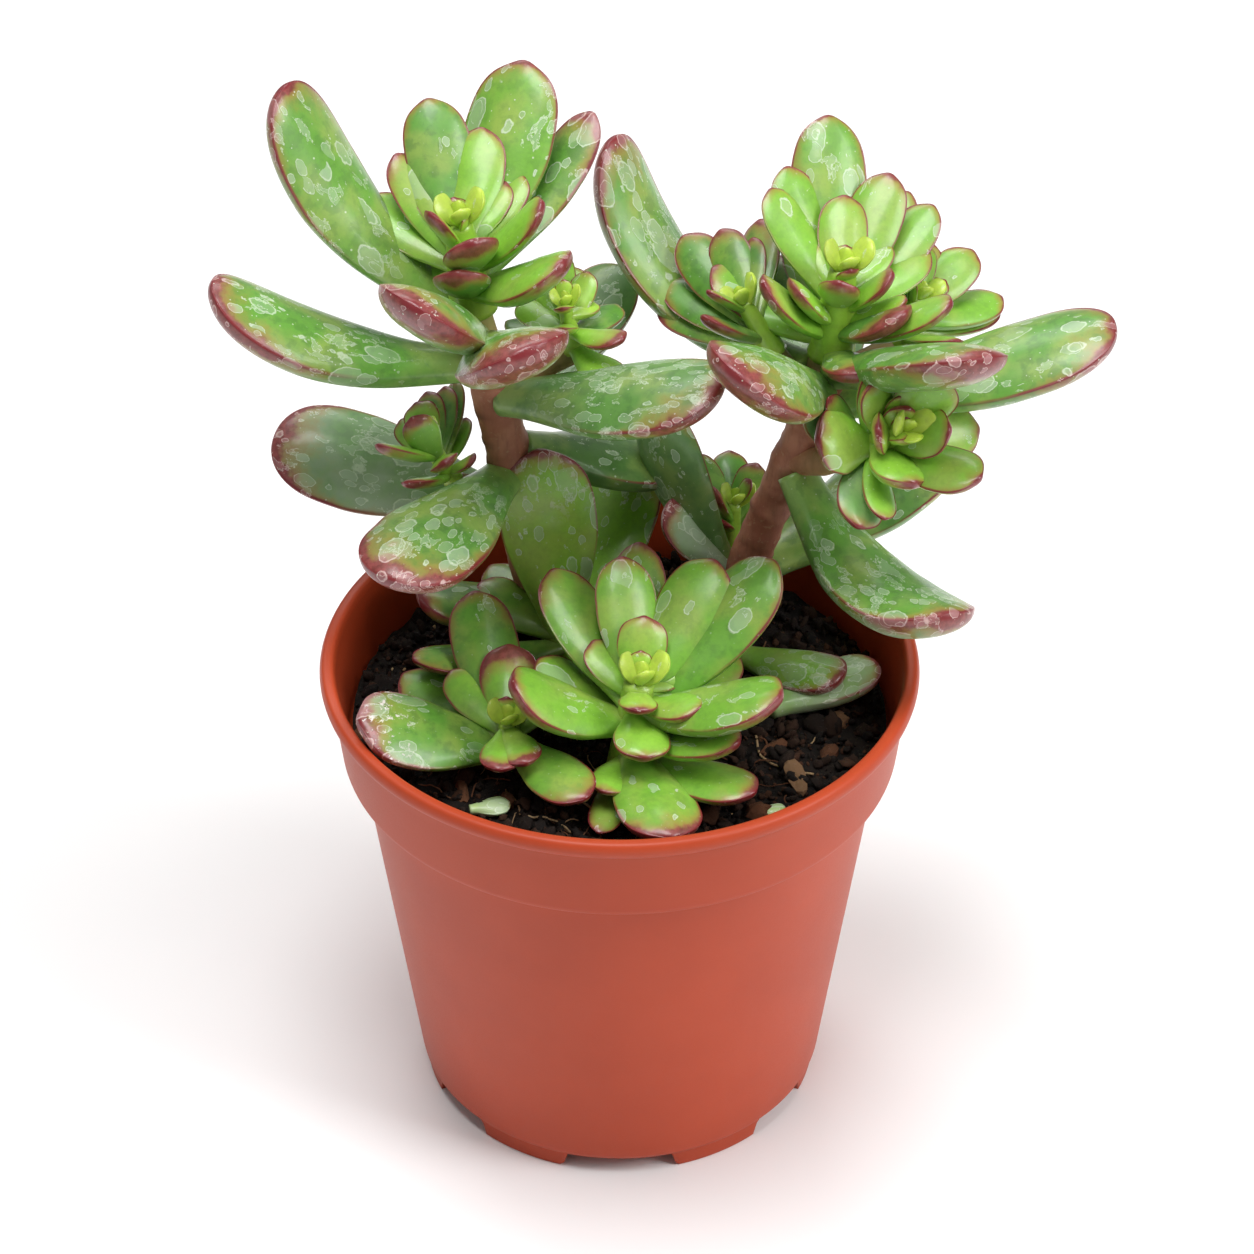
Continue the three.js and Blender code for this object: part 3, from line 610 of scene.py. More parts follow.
def stemPoint(path, height):
    # The middle of a stem at a height, between the places of its path.
    rows = np.array(path)
    order = np.clip(np.searchsorted(rows[:, 2], height), 1, len(rows) - 1)
    low, high = rows[order - 1], rows[order]
    share = (height - low[2]) / (high[2] - low[2])
    return (low + (high - low) * share)[:3]


# Stems: [x, y, z, radius] at places up the stem
stemRows = {
    "leftStem": {
        "path": [[-12.4, 24.5, 66, 4.4], [-12.6, 24.3, 78, 4.3], [-16.5, 22, 98, 4.0],
                 [-19, 20, 116.5, 3.7], [-22.4, 18.8, 135, 3.4], [-24.7, 18, 149.4, 3.0]],
        "branches": [
            [[-22.3, 18.9, 131, 2.2], [-15.5, 20.2, 134.6, 1.9], [-8.1, 21.1, 138.4, 1.8]],
            [[-17.9, 20.6, 110, 2.0], [-23.5, 18.4, 112.2, 1.9], [-28.6, 16.3, 115.1, 1.8]],
        ],
    },
    "rightStem": {
        "path": [[18.5, 26.8, 66, 3.7], [18.9, 25.8, 78, 3.7], [23.6, 22, 96, 3.5],
                 [29.6, 20, 116, 3.4], [34.6, 18.5, 132, 3.1], [36, 19.2, 139.4, 2.9]],
        "branches": [
            [[29.8, 19.8, 117, 2.6], [36, 13, 121.8, 2.5], [40.7, 7, 127.9, 2.3]],
            [[35.4, 18.9, 134.5, 2.3], [42, 24, 134.8, 2.1], [47.7, 27.3, 136.4, 1.9]],
            [[34, 18.7, 130, 2.3], [30, 19.4, 134.5, 2.2], [26.7, 20.3, 138.8, 2.0]],
        ],
    },
}

# Large leaves on a bare stem: [height on the stem, turn, rise, length, width, curl, roll], and how each
# looks: age and red from 0 to 1, wax for its dull bloom, patches and dots for how spotted it is.
grownLook = {"age": 0.62, "red": 0.62, "wax": 0.12, "patches": 0.62, "dots": 0.7}
largeLeaves = {
    "leftStem": [
        [[149, 165, 53, 48.5, 18, 48, -12], {"age": 0.5, "red": 0.66}],
        [[138.5, -176, 22, 46.5, 19, 47, 0], {"age": 0.55, "red": 0.82, "patches": 0.8}],
        [[107, 169, 12, 42.5, 19, 5, -28], {"age": 0.62, "red": 0.95, "wax": 1.0, "patches": 0.85}],
        [[115.5, -115, 8, 44, 19.5, 0, -6], {"age": 0.72, "red": 0.95, "patches": 0.85}],
        [[143.5, -77, 31, 43, 19, 10, 16], {"age": 0.6, "red": 1.0, "patches": 0.75}],
        [[146, -104, 38, 42, 18, 0, -22], {"age": 0.7, "red": 0.9, "patches": 0.45}],
        [[132, -31, 20, 45, 19, 8, 12], {"age": 0.78, "red": 0.75, "patches": 0.8, "wax": 0.25}],
        [[127, 56, 17, 37, 15, 20, 0], {"age": 0.85, "red": 0.35, "wax": 0.2}],
        [[120, 30, -24, 34, 18, 16, 0], {"age": 0.9, "red": 0.4, "patches": 0.5}],
        [[86, -152, 17, 22, 14, 15, 0], {"age": 0.8, "red": 0.5, "patches": 0.3}],
    ],
    "rightStem": [
        [[136.5, 142, 34, 52.5, 18, 100, 9], {"age": 0.56, "red": 0.72, "patches": 0.75}],
        [[134.5, -114, 34, 45, 19.5, 0, -26], {"age": 0.66, "red": 0.95, "patches": 0.7}],
        [[130.5, -4, 20, 50.5, 19, 12, 7], {"age": 0.6, "red": 0.66, "patches": 0.6}],
        [[137.5, -51, 30, 42, 18, 0, -15], {"age": 0.68, "red": 0.88, "patches": 0.5}],
        [[116, -55, -6, 43.5, 19.5, 82, -12], {"age": 0.55, "red": 0.55, "patches": 0.95}],
        [[91, 30, 20, 43.5, 18.5, 14, 4], {"age": 0.75, "red": 0.4, "patches": 0.3}],
        [[126, 85, 8, 38, 17, 35, 0], {"age": 0.65, "red": 0.5}],
        [[90, 168, 70, 38, 15, 20, 60], {"age": 0.85, "red": 0.4, "patches": 0.6}],
        [[92, -172, 52, 19, 10, 10, -40], {"age": 0.5, "red": 0.75, "wax": 1.0, "patches": 1.7}],
    ],
}
largeMesh = {"rows": 64, "cols": 56}


def buildLargeLeaves():
    for stem, rows in largeLeaves.items():
        side = stem.replace("Stem", "")
        for i, (row, own) in enumerate(rows):
            height, turn, rise, length, width, curl, roll = row
            heading = math.radians(turn)
            root = stemPoint(stemRows[stem]["path"], height)
            root = root + leafForm["rootStart"] * np.array([math.cos(heading), math.sin(heading), 0])
            leaf = {"root": root, "axes": worldAxes, "turn": turn, "rise": rise, "curl": curl, "roll": roll,
                    "length": length, "width": width, "thickness": width * leafForm["largeThickness"]}
            part = leafPart(leaf, {**grownLook, **own}, seeds["large"] * len(side) + i, **largeMesh)
            makePiece(f"{side}Leaf{i + 1}", [part], grownLeaf, [f"{side}_leaf_{i + 1}"])


buildLargeLeaves()
print("large leaves ready")


# Heads of leaves. A row is [place up the axis, turn, rise, length, width, curl]; ownLooks gives the
# leaves of a head, by their place in the list, that differ from the rest of it.
crownMesh = {"rows": 30, "cols": 32}
budMesh = {"rows": 12, "cols": 16}
crowns = {
    "leftCrown": {
        "node": "left_crown",
        "foot": [-24.7, 18, 149.8], "axis": [-2, -2, 18], "height": 18, "radius": 4.2,
        "look": {"age": 0.34, "red": 0.5, "patches": 0.25},
        "ownLooks": {2: {"red": 0.6}, 4: {"red": 0.7, "age": 0.72, "patches": 0.5},
            5: {"age": 0.42, "patches": 0.5, "dots": 0.7}, 7: {"red": 0.72, "age": 0.55},
            9: {"red": 0.6}, 10: {"age": 0.6, "wax": 0.1}, 11: {"red": 0.7}, 16: {"red": 0.62}},
        "leaves": [
            [3, 85, 12, 26, 12, 25], [4, 104, 14, 26, 12, 25], [4, -34, 31, 24, 13, 20],
            [5, 140, 8, 27, 9.5, 25], [5, 46, 26, 36, 10.5, 25], [7, 67, 36, 37.5, 16.5, 18],
            [8, 125, 37, 23, 8, 20], [3.5, -93, 51, 14, 9.5, 10], [8, 141, 20, 21.5, 9.5, 20],
            [8, -1, 42, 19, 9, 20], [9, 102, 40, 29, 11.5, 15], [8.5, -71, 54, 14, 9.5, 10],
            [11, 49, 23, 17, 7.5, 15], [10, 114, 33, 22, 8, 10], [12, 78, 30, 22, 10, 10],
            [12, 55, 23, 14, 6.5, 10], [12, -140, 65, 12, 6, 5], [15, 101, 53, 6.5, 4.5, 0],
            [15.5, -10, 73, 5, 4.5, 0],
        ],
    },
    "leftSideCrown": {
        "node": "left_side_crown",
        "foot": [-7.9, 21.1, 139], "axis": [-0.15, 0, 1], "height": 9.5, "radius": 1.9,
        "look": {"age": 0.30, "red": 0.35, "patches": 0.12},
        "ownLooks": {1: {"age": 0.7}, 2: {"age": 0.7}, 3: {"red": 0.8}},
        "leaves": [
            [1, -57, -1, 14.5, 7, 20], [3, 54, -7, 13, 7, 20], [2, 140, -2, 15, 5, 20],
            [4, -40, 10, 12.5, 6, 20], [4, 138, 11, 11.5, 6.5, 20], [3, 110, 20, 12, 6, 20],
            [6, 90, 21, 14, 3.5, 10], [7, 51, -7, 6.5, 6, 10], [7, 86, 9, 12.5, 6, 10],
            [5, 60, 35, 10, 5.5, 15], [5, -95, 30, 8, 5, 10], [8.5, -89, 34, 5, 3.5, 0],
            [9, 80, 62, 4.5, 3, 0],
        ],
    },
    "leftLowCrown": {
        "node": "left_low_crown",
        "foot": [-28.9, 16.2, 115.5], "axis": [-0.5, 0.05, 0.95], "height": 9.5, "radius": 1.9,
        "look": {"age": 0.48, "red": 0.62, "patches": 0.08},
        "ownLooks": {0: {"red": 0.9}, 3: {"age": 0.85}, 5: {"age": 0.85}, 7: {"age": 0.8}},
        "leaves": [
            [1, -121, 35, 11.5, 5, 15], [2, -23, 14, 7, 4, 15], [3, 64, 10, 11, 4.5, 15],
            [4, 68, 23, 16, 5, 15], [4.5, -69, 22, 8, 5.5, 10], [5, 72, 25, 14, 5.5, 15],
            [5, -75, 72, 11.5, 6, 10], [5.5, 86, 29, 13, 5.5, 15], [5.5, -134, 49, 13, 6, 15],
            [6, 121, 26, 10.5, 6, 15], [7.5, 94, 36, 9, 6.5, 5], [8.5, -68, 43, 4, 3.5, 0],
        ],
    },
    "rightCrown": {
        "node": "right_crown",
        "foot": [36.1, 19.4, 139.8], "axis": [1.5, -2, 18], "height": 18, "radius": 4.2,
        "look": {"age": 0.36, "red": 0.5, "patches": 0.25},
        "ownLooks": {0: {"red": 0.85, "age": 0.7}, 5: {"patches": 0.35, "red": 0.7},
            6: {"red": 1.35, "age": 0.75, "wax": 0.1}, 7: {"patches": 0.4, "dots": 0.7, "red": 0.6},
            8: {"patches": 0.35}, 13: {"patches": 0.35}, 14: {"patches": 0.3}, 16: {"red": 0.7}},
        "leaves": [
            [0.5, -73, 26, 17, 10, 15], [3, 150, 10, 24, 11, 25], [4, 63, 25, 30, 8, 20],
            [4, 100, 12, 26, 11, 25], [4, -19, 35, 23, 9.5, 20], [4, 132, -3, 32, 12.5, 30],
            [4.5, -37, 41, 17, 10, 15], [7, 95, 35, 36, 13, 20], [7, 49, 25, 27, 9.5, 20],
            [8, 115, 34, 27, 9.5, 15], [7, -19, 36, 14, 5.5, 15], [3.5, -166, 44, 19, 9.5, 15],
            [9, 38, 15, 20, 9, 15], [9, 68, 33, 26, 10, 15], [10, 128, 31, 23, 8.5, 10],
            [6.5, -155, 49, 14, 8, 10], [9, -13, 51, 13, 7, 10], [12, 88, 29, 18.5, 8.5, 10],
            [10, -100, 62, 10, 7, 5], [12, 54, 17, 14, 7, 10], [12, 110, 22, 10.5, 5, 5],
            [16, 85, 50, 5.5, 4.5, 0], [15.5, -67, 59, 5, 4, 0],
        ],
    },
    "rightBackCrown": {
        "node": "right_back_crown",
        "foot": [48, 27.6, 136.8], "axis": [0.35, 0.1, 0.9], "height": 9, "radius": 2.4,
        "look": {"age": 0.36, "red": 0.5, "patches": 0.1},
        "leaves": [
            [2, 95, 20, 15, 8, 20], [2, -140, 18, 12, 6, 20], [1, -53, 30, 14, 6.5, 15],
            [2, 28, 18, 19.5, 6.5, 20], [4, 29, 20, 19, 9, 15], [5, 82, 37, 15, 5.5, 15],
            [5, 150, 45, 12, 6, 15], [5, 54, 38, 17.5, 8.5, 10], [7, 43, 41, 7.5, 4.5, 5],
            [7, 95, 52, 11, 5, 5], [7.5, -160, 62, 7, 4, 0],
        ],
    },
    "rightInnerCrown": {
        "node": "right_inner_crown",
        "foot": [26.4, 20.4, 139.2], "axis": [-0.5, 0.05, 0.9], "height": 11, "radius": 2.4,
        "look": {"age": 0.6, "red": 0.6, "patches": 0.15},
        "ownLooks": {2: {"age": 0.85, "red": 0.75}, 4: {"red": 0.8, "age": 0.85}, 6: {"red": 0.8},
            7: {"red": 0.7, "age": 0.8}, 8: {"red": 0.65, "age": 0.8}},
        "leaves": [
            [2, 139, 23, 23, 8.5, 20], [3, 133, 29, 22, 8, 20], [3, 73, 16, 18, 8.5, 20],
            [5, 112, 35, 23.5, 9, 15], [3, -149, 56, 13, 7, 15], [7, 92, 33, 19, 7.5, 10],
            [5, 63, -3, 12, 5.5, 10], [7, 71, 24, 20, 8, 10], [8, 73, 25, 15.5, 5, 10],
            [9, -150, 62, 9, 4.5, 0],
        ],
    },
    "rightSideCrown": {
        "node": "right_side_crown",
        "foot": [41, 6.7, 128.3], "axis": [0.45, -0.6, 0.66], "height": 14, "radius": 2.8,
        "look": {"age": 0.30, "red": 0.42, "patches": 0.12},
        "ownLooks": {0: {"wax": 0.45, "age": 0.6}, 17: {"age": 0.9, "wax": 0.3}},
        "leaves": [
            [3, -106, 13, 16, 9, 20], [4, 108, 44, 16.5, 9, 15], [2, 149, 24, 13, 5, 20],
            [5, -174, 12, 12.5, 11, 15], [5, 13, 4, 20, 10, 15], [5, -41, 53, 21.5, 10, 15],
            [4, -96, 24, 15.5, 6, 15], [7, 61, 63, 17.5, 9.5, 15], [8, 125, 37, 12, 8, 10],
            [8, 99, 53, 9.5, 4.5, 10], [9, -175, 50, 7.5, 7, 5], [8, -5, 68, 13.5, 8.5, 10],
            [6, -83, 47, 13, 10.5, 10], [10, 87, 60, 7, 7, 5], [10.5, -73, 76, 6, 5.5, 0],
            [11.5, 90, 62, 4.5, 4, 0], [12, -60, 64, 4, 3.5, 0], [0, 161, 16, 14, 7, 10],
        ],
    },
    "frontCrown": {
        "node": "front_crown",
        "foot": [0.8, -17.4, 70], "axis": [0.09, -0.04, 1], "height": 28, "radius": 4.6,
        "look": {"age": 0.38, "red": 0.5, "patches": 0.3},
        "ownLooks": {2: {"red": 0.7}, 7: {"patches": 0.35}, 9: {"patches": 0.35}},
        "leaves": [
            [11, -105, -1, 20, 6, 5], [12, -108, 14, 16, 7, 5], [13, -76, 8, 27, 14, 5],
            [12, -37, 14, 26, 11, 10], [16, -33, 25, 22, 10, 10], [19, -169, 26, 24, 14.5, 30],
            [20, 91, 28, 32.5, 10, 15], [20, 36, 41, 35.5, 14.5, 10], [20, 37, 9, 22.5, 9, 15],
            [21, -21, 29, 28, 15, 10], [22, 125, 23, 29, 11.5, 15], [23, 57, 39, 28, 12.5, 10],
            [24, 101, 36, 25, 10.5, 10], [22, -83, 2, 13, 9.5, 5], [24.5, 42, 19, 18.5, 9.5, 10],
            [23.5, -32, 24, 13.5, 8.5, 10], [24.5, 132, 21, 12.5, 8, 15], [26, 88, 51, 12.5, 8.5, 5],
            [26, 36, 3, 8.5, 5.5, 5], [26, -91, 16, 8, 6.5, 0], [27, 90, 60, 6, 4, 0],
            [18, 150, 15, 20, 10, 15], [17, 95, 20, 20, 10, 15],
        ],
    },
    "frontLeftCrown": {
        "node": "front_left_crown",
        "foot": [-19.1, -13.9, 70], "axis": [-0.01, -0.22, 1], "height": 19.5, "radius": 2.6,
        "look": {"age": 0.42, "red": 0.6, "patches": 0.15},
        "ownLooks": {0: {"scab": 1.0, "red": 0.72, "age": 0.6, "patches": 0.5}, 4: {"red": 1.1},
            6: {"red": 0.9}, 7: {"red": 0.8}},
        "leaves": [
            [12.5, -172, 26, 27.5, 16, 10], [15.5, 140, -4, 24, 9.5, 20], [15.5, 103, 15, 28, 11.5, 15],
            [16.5, 129, 8, 15.5, 8, 15], [16.5, 89, 18, 16, 10, 10], [15.5, -51, 11, 22, 10, 10],
            [17.5, -96, 16, 12, 7, 5], [18, -71, 16, 11.5, 7, 5], [14, 60, 15, 14, 8, 15],
            [18.5, 90, 60, 5, 4, 0],
        ],
    },
    "middleCrown": {
        "node": "middle_crown",
        "foot": [-8, 11.5, 70], "axis": [-0.1, -0.05, 1], "height": 22, "radius": 3,
        "look": {"age": 0.62, "red": 0.5, "patches": 0.3},
        # Leaves 0 and 1 take a young, light green that is partly painted light, brightening them where they
        # stand in shade.
        "ownLooks": {0: {"age": 0.24, "patches": 0.6, "red": 0.62, "scab": 0.3},
            1: {"age": 0.24, "patches": 0.5}},
        "leaves": [
            [14, 97, 78, 37.5, 17, 10], [15, 67, 25, 37, 16.5, 15], [16, 126, 5, 23, 9.5, 20],
            [14, -150, 21, 31, 9, 15], [18, 90, 10, 22, 6.5, 10], [18, 69, 13, 24, 6, 10],
            [15, 45, 20, 20, 10, 15], [16, 150, 20, 18, 10, 15], [19, -60, 40, 10, 6, 5],
            [20, 120, 60, 9, 5, 0], [21, 20, 62, 7, 4, 0],
        ],
    },
    "backCrown": {
        "node": "back_crown",
        "foot": [19.3, 35, 70], "axis": [0.05, -0.02, 1], "height": 28, "radius": 2.2,
        "look": {"age": 0.72, "red": 0.6, "patches": 0.2, "wax": 0.2},
        "ownLooks": {4: {"red": 0.95}, 5: {"red": 0.95}, 7: {"red": 0.9}},
        "leaves": [
            [15, -60, 15, 12, 6, 20], [16, 60, 34, 11, 6.5, 20], [18, 20, 40, 16, 8, 10],
            [20, 120, 38, 12, 6, 15], [22, -171, 43, 7, 4, 5], [22, -127, 46, 5.5, 3.5, 5],
            [23, 134, 23, 9, 4.5, 10], [24, -158, 62, 9, 5, 10], [23.5, 132, 38, 14, 7, 10],
            [24, 94, 26, 14, 7, 10], [24, 60, 45, 11, 6, 5], [27, 20, 64, 6, 3.5, 0],
        ],
    },
}
budForm = {
    "count": 4, "length": 7.8, "width": 5.6, "thickness": 2.3, "turn": 20, "rise": 54, "curl": 10,
    "below": 1.2,       # from the top of the axis down to the lowest leaf of the bud, in millimetres
    "placeStep": 0.35,  # how much higher each next leaf is
    "turnStep": 137.5,
    "riseStep": 5,
    "shrink": 0.17,     # how much smaller, as a share of the first
    "fullRadius": 3.0,  # a stalk this thick has a bud of full size
}
budLook = {"age": 0.0, "red": -0.45, "wax": 0.0, "patches": 0.0, "dots": 0.0, "nib": 0.15}
stalkForm = {"rows": 20, "cols": 24, "uneven": 0.12, "taper": 0.45}
stalkMarks = {"leafEdge": (4.0, 0.18, 0.0), "leafTint": (0.16, 0.1, 0.0), "leafMark": (0.0, 0.0, 0.0)}


def crownAxes(axis):
    # Right, back and up directions of a head that leans along its axis.
    up = np.array(axis, float)
    up = up / np.linalg.norm(up)
    right = np.array([1.0, 0, 0]) - up * up[0]
    right = right / np.linalg.norm(right)
    return np.array([right, np.cross(up, right), up])


def smoothLine(points, t):
    # A line through all its points that leaves each along the way from the one before to the one after.
    points = np.array(points, float)
    padded = np.vstack([2 * points[0] - points[1], points, 2 * points[-1] - points[-2]])
    at = np.clip(t, 0, 1) * (len(points) - 1)
    k = np.minimum(at.astype(int), len(points) - 2)
    u = (at - k)[:, None]
    a, b, c, d = padded[k], padded[k + 1], padded[k + 2], padded[k + 3]
    square = 2 * a - 5 * b + 4 * c - d
    cube = 3 * b - a - 3 * c + d
    return 0.5 * (2 * b + (c - a) * u + square * u ** 2 + cube * u ** 3)


def tubeRings(path, rows, cols, uneven=0.0, seed=0, bumps=()):
    # A round tube along a smooth line, its radius running between the path's own. bumps are swellings
    # as [place along from 0 to 1, heading in degrees, height, reach in millimetres].
    path = np.array(path, float)
    t = np.linspace(0, 1, rows)
    line = smoothLine(path[:, :3], t)
    ahead = np.gradient(line, axis=0)
    ahead = ahead / np.linalg.norm(ahead, axis=1, keepdims=True)
    side = np.cross(np.array([0, 1.0, 0]), ahead)
    side = side / np.linalg.norm(side, axis=1, keepdims=True)
    other = np.cross(ahead, side)
    radius = np.interp(t * (len(path) - 1), np.arange(len(path)), path[:, 3])[:, None]
    q = np.linspace(0, 2 * math.pi, cols, endpoint=False)[None, :]
    outward = side[:, None, :] * np.cos(q)[:, :, None] + other[:, None, :] * np.sin(q)[:, :, None]
    surface = line[:, None, :] + outward * radius[:, :, None]
    grown = radius + uneven * ripple(surface, 7.0, seed) + 0.4 * uneven * ripple(surface, 2.2, seed + 1)
    scars = np.zeros_like(grown)
    walked = np.concatenate([[0], np.cumsum(np.linalg.norm(np.diff(line, axis=0), axis=1))])
    for share, heading, height, reach in bumps:
        angle = math.radians(heading)
        toward = outward @ np.array([math.cos(angle), math.sin(angle), 0])
        near = np.exp(-((walked[:, None] - share * walked[-1]) / reach) ** 2)
        lobe = np.exp(-np.arccos(np.clip(toward, -1, 1)) ** 2 / 0.5)
        grown = grown + height * near * (0.25 + 0.75 * lobe)
        scars = np.maximum(scars, near ** 1.5 * lobe)
    return line[:, None, :] + outward * grown[:, :, None], line, scars, t


def crownLook(look, share, width):
    # Short leaves are fresher, less red and less spotted than the longest; share is a leaf's length as a
    # share of theirs.
    return {
        "age": look["age"] * (0.25 + 0.95 * share), "red": look["red"] * (0.75 + 0.3 * share),
        "patches": look["patches"] * share, "wax": 0.05, "dots": 0.35,
        "nib": 0.035 * width + 0.1, "hollow": 0.02 * width,
    }


def crownPart(crown):
    # A tapered stalk along the head's axis, the leaves of its rows, and a bud of small leaves on top.
    axes = crownAxes(crown["axis"])
    base = np.array(crown["foot"], float)
    height, radius, rows = crown["height"], crown["radius"], crown["leaves"]
    stalk = [[*(base + axes[2] * height * t), radius * (1 - stalkForm["taper"] * t)] for t in (0, 0.5, 1)]
    rings, line, _, _ = tubeRings(stalk, stalkForm["rows"], stalkForm["cols"], stalkForm["uneven"],
                                  int(height))
    marks = {name: evenMark(rings.shape, values) for name, values in stalkMarks.items()}
    parts = [tubePart(rings, line[0], line[-1], {"leafPlace": rings - base, **marks})]
    longest = max(24.0, *(row[3] for row in rows))
    for i, (place, turn, rise, length, width, curl) in enumerate(rows):
        look = {**crownLook(crown["look"], length / longest, width), **crown.get("ownLooks", {}).get(i, {})}
        leaf = {"root": base + axes[2] * place, "axes": axes, "turn": turn, "rise": rise, "curl": curl,
                "roll": 0, "length": length, "width": width,
                "thickness": width * leafForm["crownThickness"]}
        parts.append(leafPart(leaf, look, seeds["crown"] + 40 * len(rows) + i, **crownMesh))
    b = budForm
    for k in range(b["count"]):
        size = min(1.0, radius / b["fullRadius"]) * (1 - b["shrink"] * k)
        leaf = {"root": base + axes[2] * (height - b["below"] + b["placeStep"] * k), "axes": axes,
                "turn": b["turn"] + b["turnStep"] * k, "rise": b["rise"] + b["riseStep"] * k,
                "curl": b["curl"], "roll": 0, "length": b["length"] * size, "width": b["width"] * size,
                "thickness": b["thickness"] * size}
        parts.append(leafPart(leaf, budLook, seeds["bud"] + k, **budMesh))
    return parts


def buildCrowns():
    for name, crown in crowns.items():
        makePiece(name, crownPart(crown), youngLeaf, [crown["node"]])


buildCrowns()
print("heads ready")


# Leaves and bits that lie on the soil: [x, y, turn, length, width, thickness, rise, roll]
lyingRows = {
    # fallenLeaf1's strong wax bloom and patches are partly its pale dried skin and partly a painted
    # highlight.
    "fallenLeaf1": {"node": "fallen_leaf_1", "row": [26, -3.5, 28, 22, 12, 5.5, 6, -8],
                    "look": {"age": 0.3, "red": 0.62, "wax": 0.8, "patches": 1.3, "dots": 0.5}},
    "fallenLeaf2": {"node": "fallen_leaf_2", "row": [21, 12, -37, 23, 10.5, 5.5, 13, 8],
                    "look": {"age": 0.3, "red": 0.75, "wax": 0.1, "patches": 0.9, "dots": 0.5, "scab": 0.3}},
    "leafScrap1": {"node": "leaf_scrap_1", "row": [-25.5, -29.5, 10, 7, 4.5, 2.4, 3, 0],
                   "look": {"age": 0.1, "red": 0.0, "wax": 0.9, "patches": 0.9, "dots": 1.0}},
    "leafScrap2": {"node": "leaf_scrap_2", "row": [23.5, -30.5, 15, 5, 3.2, 2, 3, 0],
                   "look": {"age": 0.1, "red": 0.0, "wax": 0.9, "patches": 0.9, "dots": 1.0}},
}
soilTop = 78.0


def buildLyingLeaves():
    for order, (name, item) in enumerate(lyingRows.items()):
        x, y, turn, length, width, thickness, rise, roll = item["row"]
        lift = thickness * (1 - leafForm["upperShare"]) - 0.4  # the under face a little in the soil
        leaf = {"root": np.array([x, y, soilTop + lift]), "axes": worldAxes, "turn": turn, "rise": rise,
                "curl": 10, "roll": roll, "length": length, "width": width, "thickness": thickness}
        part = leafPart(leaf, item["look"], seeds["lying"] + order, **crownMesh)
        makePiece(name, [part], grownLeaf, [item["node"]])


buildLyingLeaves()
print("lying leaves ready")


# Stems

bark = {
    "uneven": 0.16, "rows": 150, "cols": 48,
    "twigUneven": 0.1, "twigRows": 40, "twigCols": 28,
    "grainScale": (1000, 1000, 220),  # long grain up the stem
    "greenFrom": 0.84,                # share of the height above which the stem turns green
    "twigGreen": 0.62,
    "scarShare": 0.75,
    "scarTop": 146,                   # leaves that grow from this height up leave no swelling
}
barkColours = {
    "dull": rgb(156, 94, 72),
    "warm": rgb(180, 120, 96),
    "streak": rgb(116, 68, 52),
    "spot": rgb(178, 134, 108),
    "scar": rgb(74, 46, 38),
    "green": rgb(146, 150, 86),
}


def barkMaterial():
    inks = barkColours
    material, tree, shader = newMaterial("stemBark")
    place = objectPlace(tree)
    height, scar, twig = attribute(tree, "barkShare")
    grain = noise(tree, objectPlace(tree, bark["grainScale"]), 0.9, 5.0, 0.65)
    broad = noise(tree, place, 0.16, 3.0, 0.55)
    spots = noise(tree, place, 1.1, 2.0, 0.5)
    paint = blendColour(tree, ramp(tree, broad, 0.35, 0.65), inks["dull"], inks["warm"])
    paint = blendColour(tree, ramp(tree, grain, 0.45, 0.7, 0.0, 0.3), paint, inks["streak"])
    paint = blendColour(tree, ramp(tree, spots, 0.62, 0.72, 0.0, 0.6), paint, inks["spot"])
    paint = blendColour(tree, calc(tree, "MULTIPLY", scar, bark["scarShare"]), paint, inks["scar"])
    greenShare = calc(tree, "MAXIMUM", ramp(tree, height, bark["greenFrom"], 1.0, 0.0, 0.8),
                      calc(tree, "MULTIPLY", twig, bark["twigGreen"]))
    feed(tree, blendColour(tree, greenShare, paint, inks["green"]), shader["Base Color"])
    shader["Roughness"].default_value = 0.62
    relief = calc(tree, "MULTIPLY_ADD", grain, 0.7, calc(tree, "MULTIPLY", spots, 0.4))
    feed(tree, bump(tree, relief, 0.3, 0.0003), shader["Normal"])
    shader["Subsurface Weight"].default_value = 0.08
    shader["Subsurface Scale"].default_value = 0.001
    return material


stemBark = barkMaterial()


def stemScars(name):
    # One swelling where each large leaf grows, and old scars between them by a seeded draw.
    path = np.array(stemRows[name]["path"])
    low, high = path[0, 2], path[-1, 2]
    found = [[(row[0] - low) / (high - low), row[1], 0.7, 2.6]
             for row, _ in largeLeaves[name] if row[0] < bark["scarTop"]]
    draw = np.random.default_rng(len(found) + 3)
    for share in np.arange(0.2, 0.95, 0.07):
        place = share + draw.uniform(-0.01, 0.01)
        found.append([place, draw.uniform(0, 360), draw.uniform(0.15, 0.4), 0.9])
    return found


def buildStems():
    # barkShare holds the place up the stem, the scars, and the place out along a side branch.
    for name, rows in stemRows.items():
        rings, line, scars, t = tubeRings(rows["path"], bark["rows"], bark["cols"], bark["uneven"],
                                          len(name), stemScars(name))
        up = np.broadcast_to(t[:, None], scars.shape)
        marks = {"barkShare": np.stack([up, scars, np.zeros_like(scars)], axis=-1)}
        parts = [tubePart(rings, line[0], line[-1], marks)]
        for i, branch in enumerate(rows["branches"]):
            rings, line, scars, t = tubeRings(branch, bark["twigRows"], bark["twigCols"], bark["twigUneven"],
                                              60 + i, [[0.45, 90 * i, 0.3, 1.0]])
            along = np.broadcast_to(t[:, None], scars.shape)
            marks = {"barkShare": np.stack([0.6 + 0.2 * along, scars, along], axis=-1)}
            parts.append(tubePart(rings, line[0], line[-1], marks))
        makePiece(name, parts, stemBark, [name.replace("Stem", "_stem")])


buildStems()
print("stems ready")


# Pot

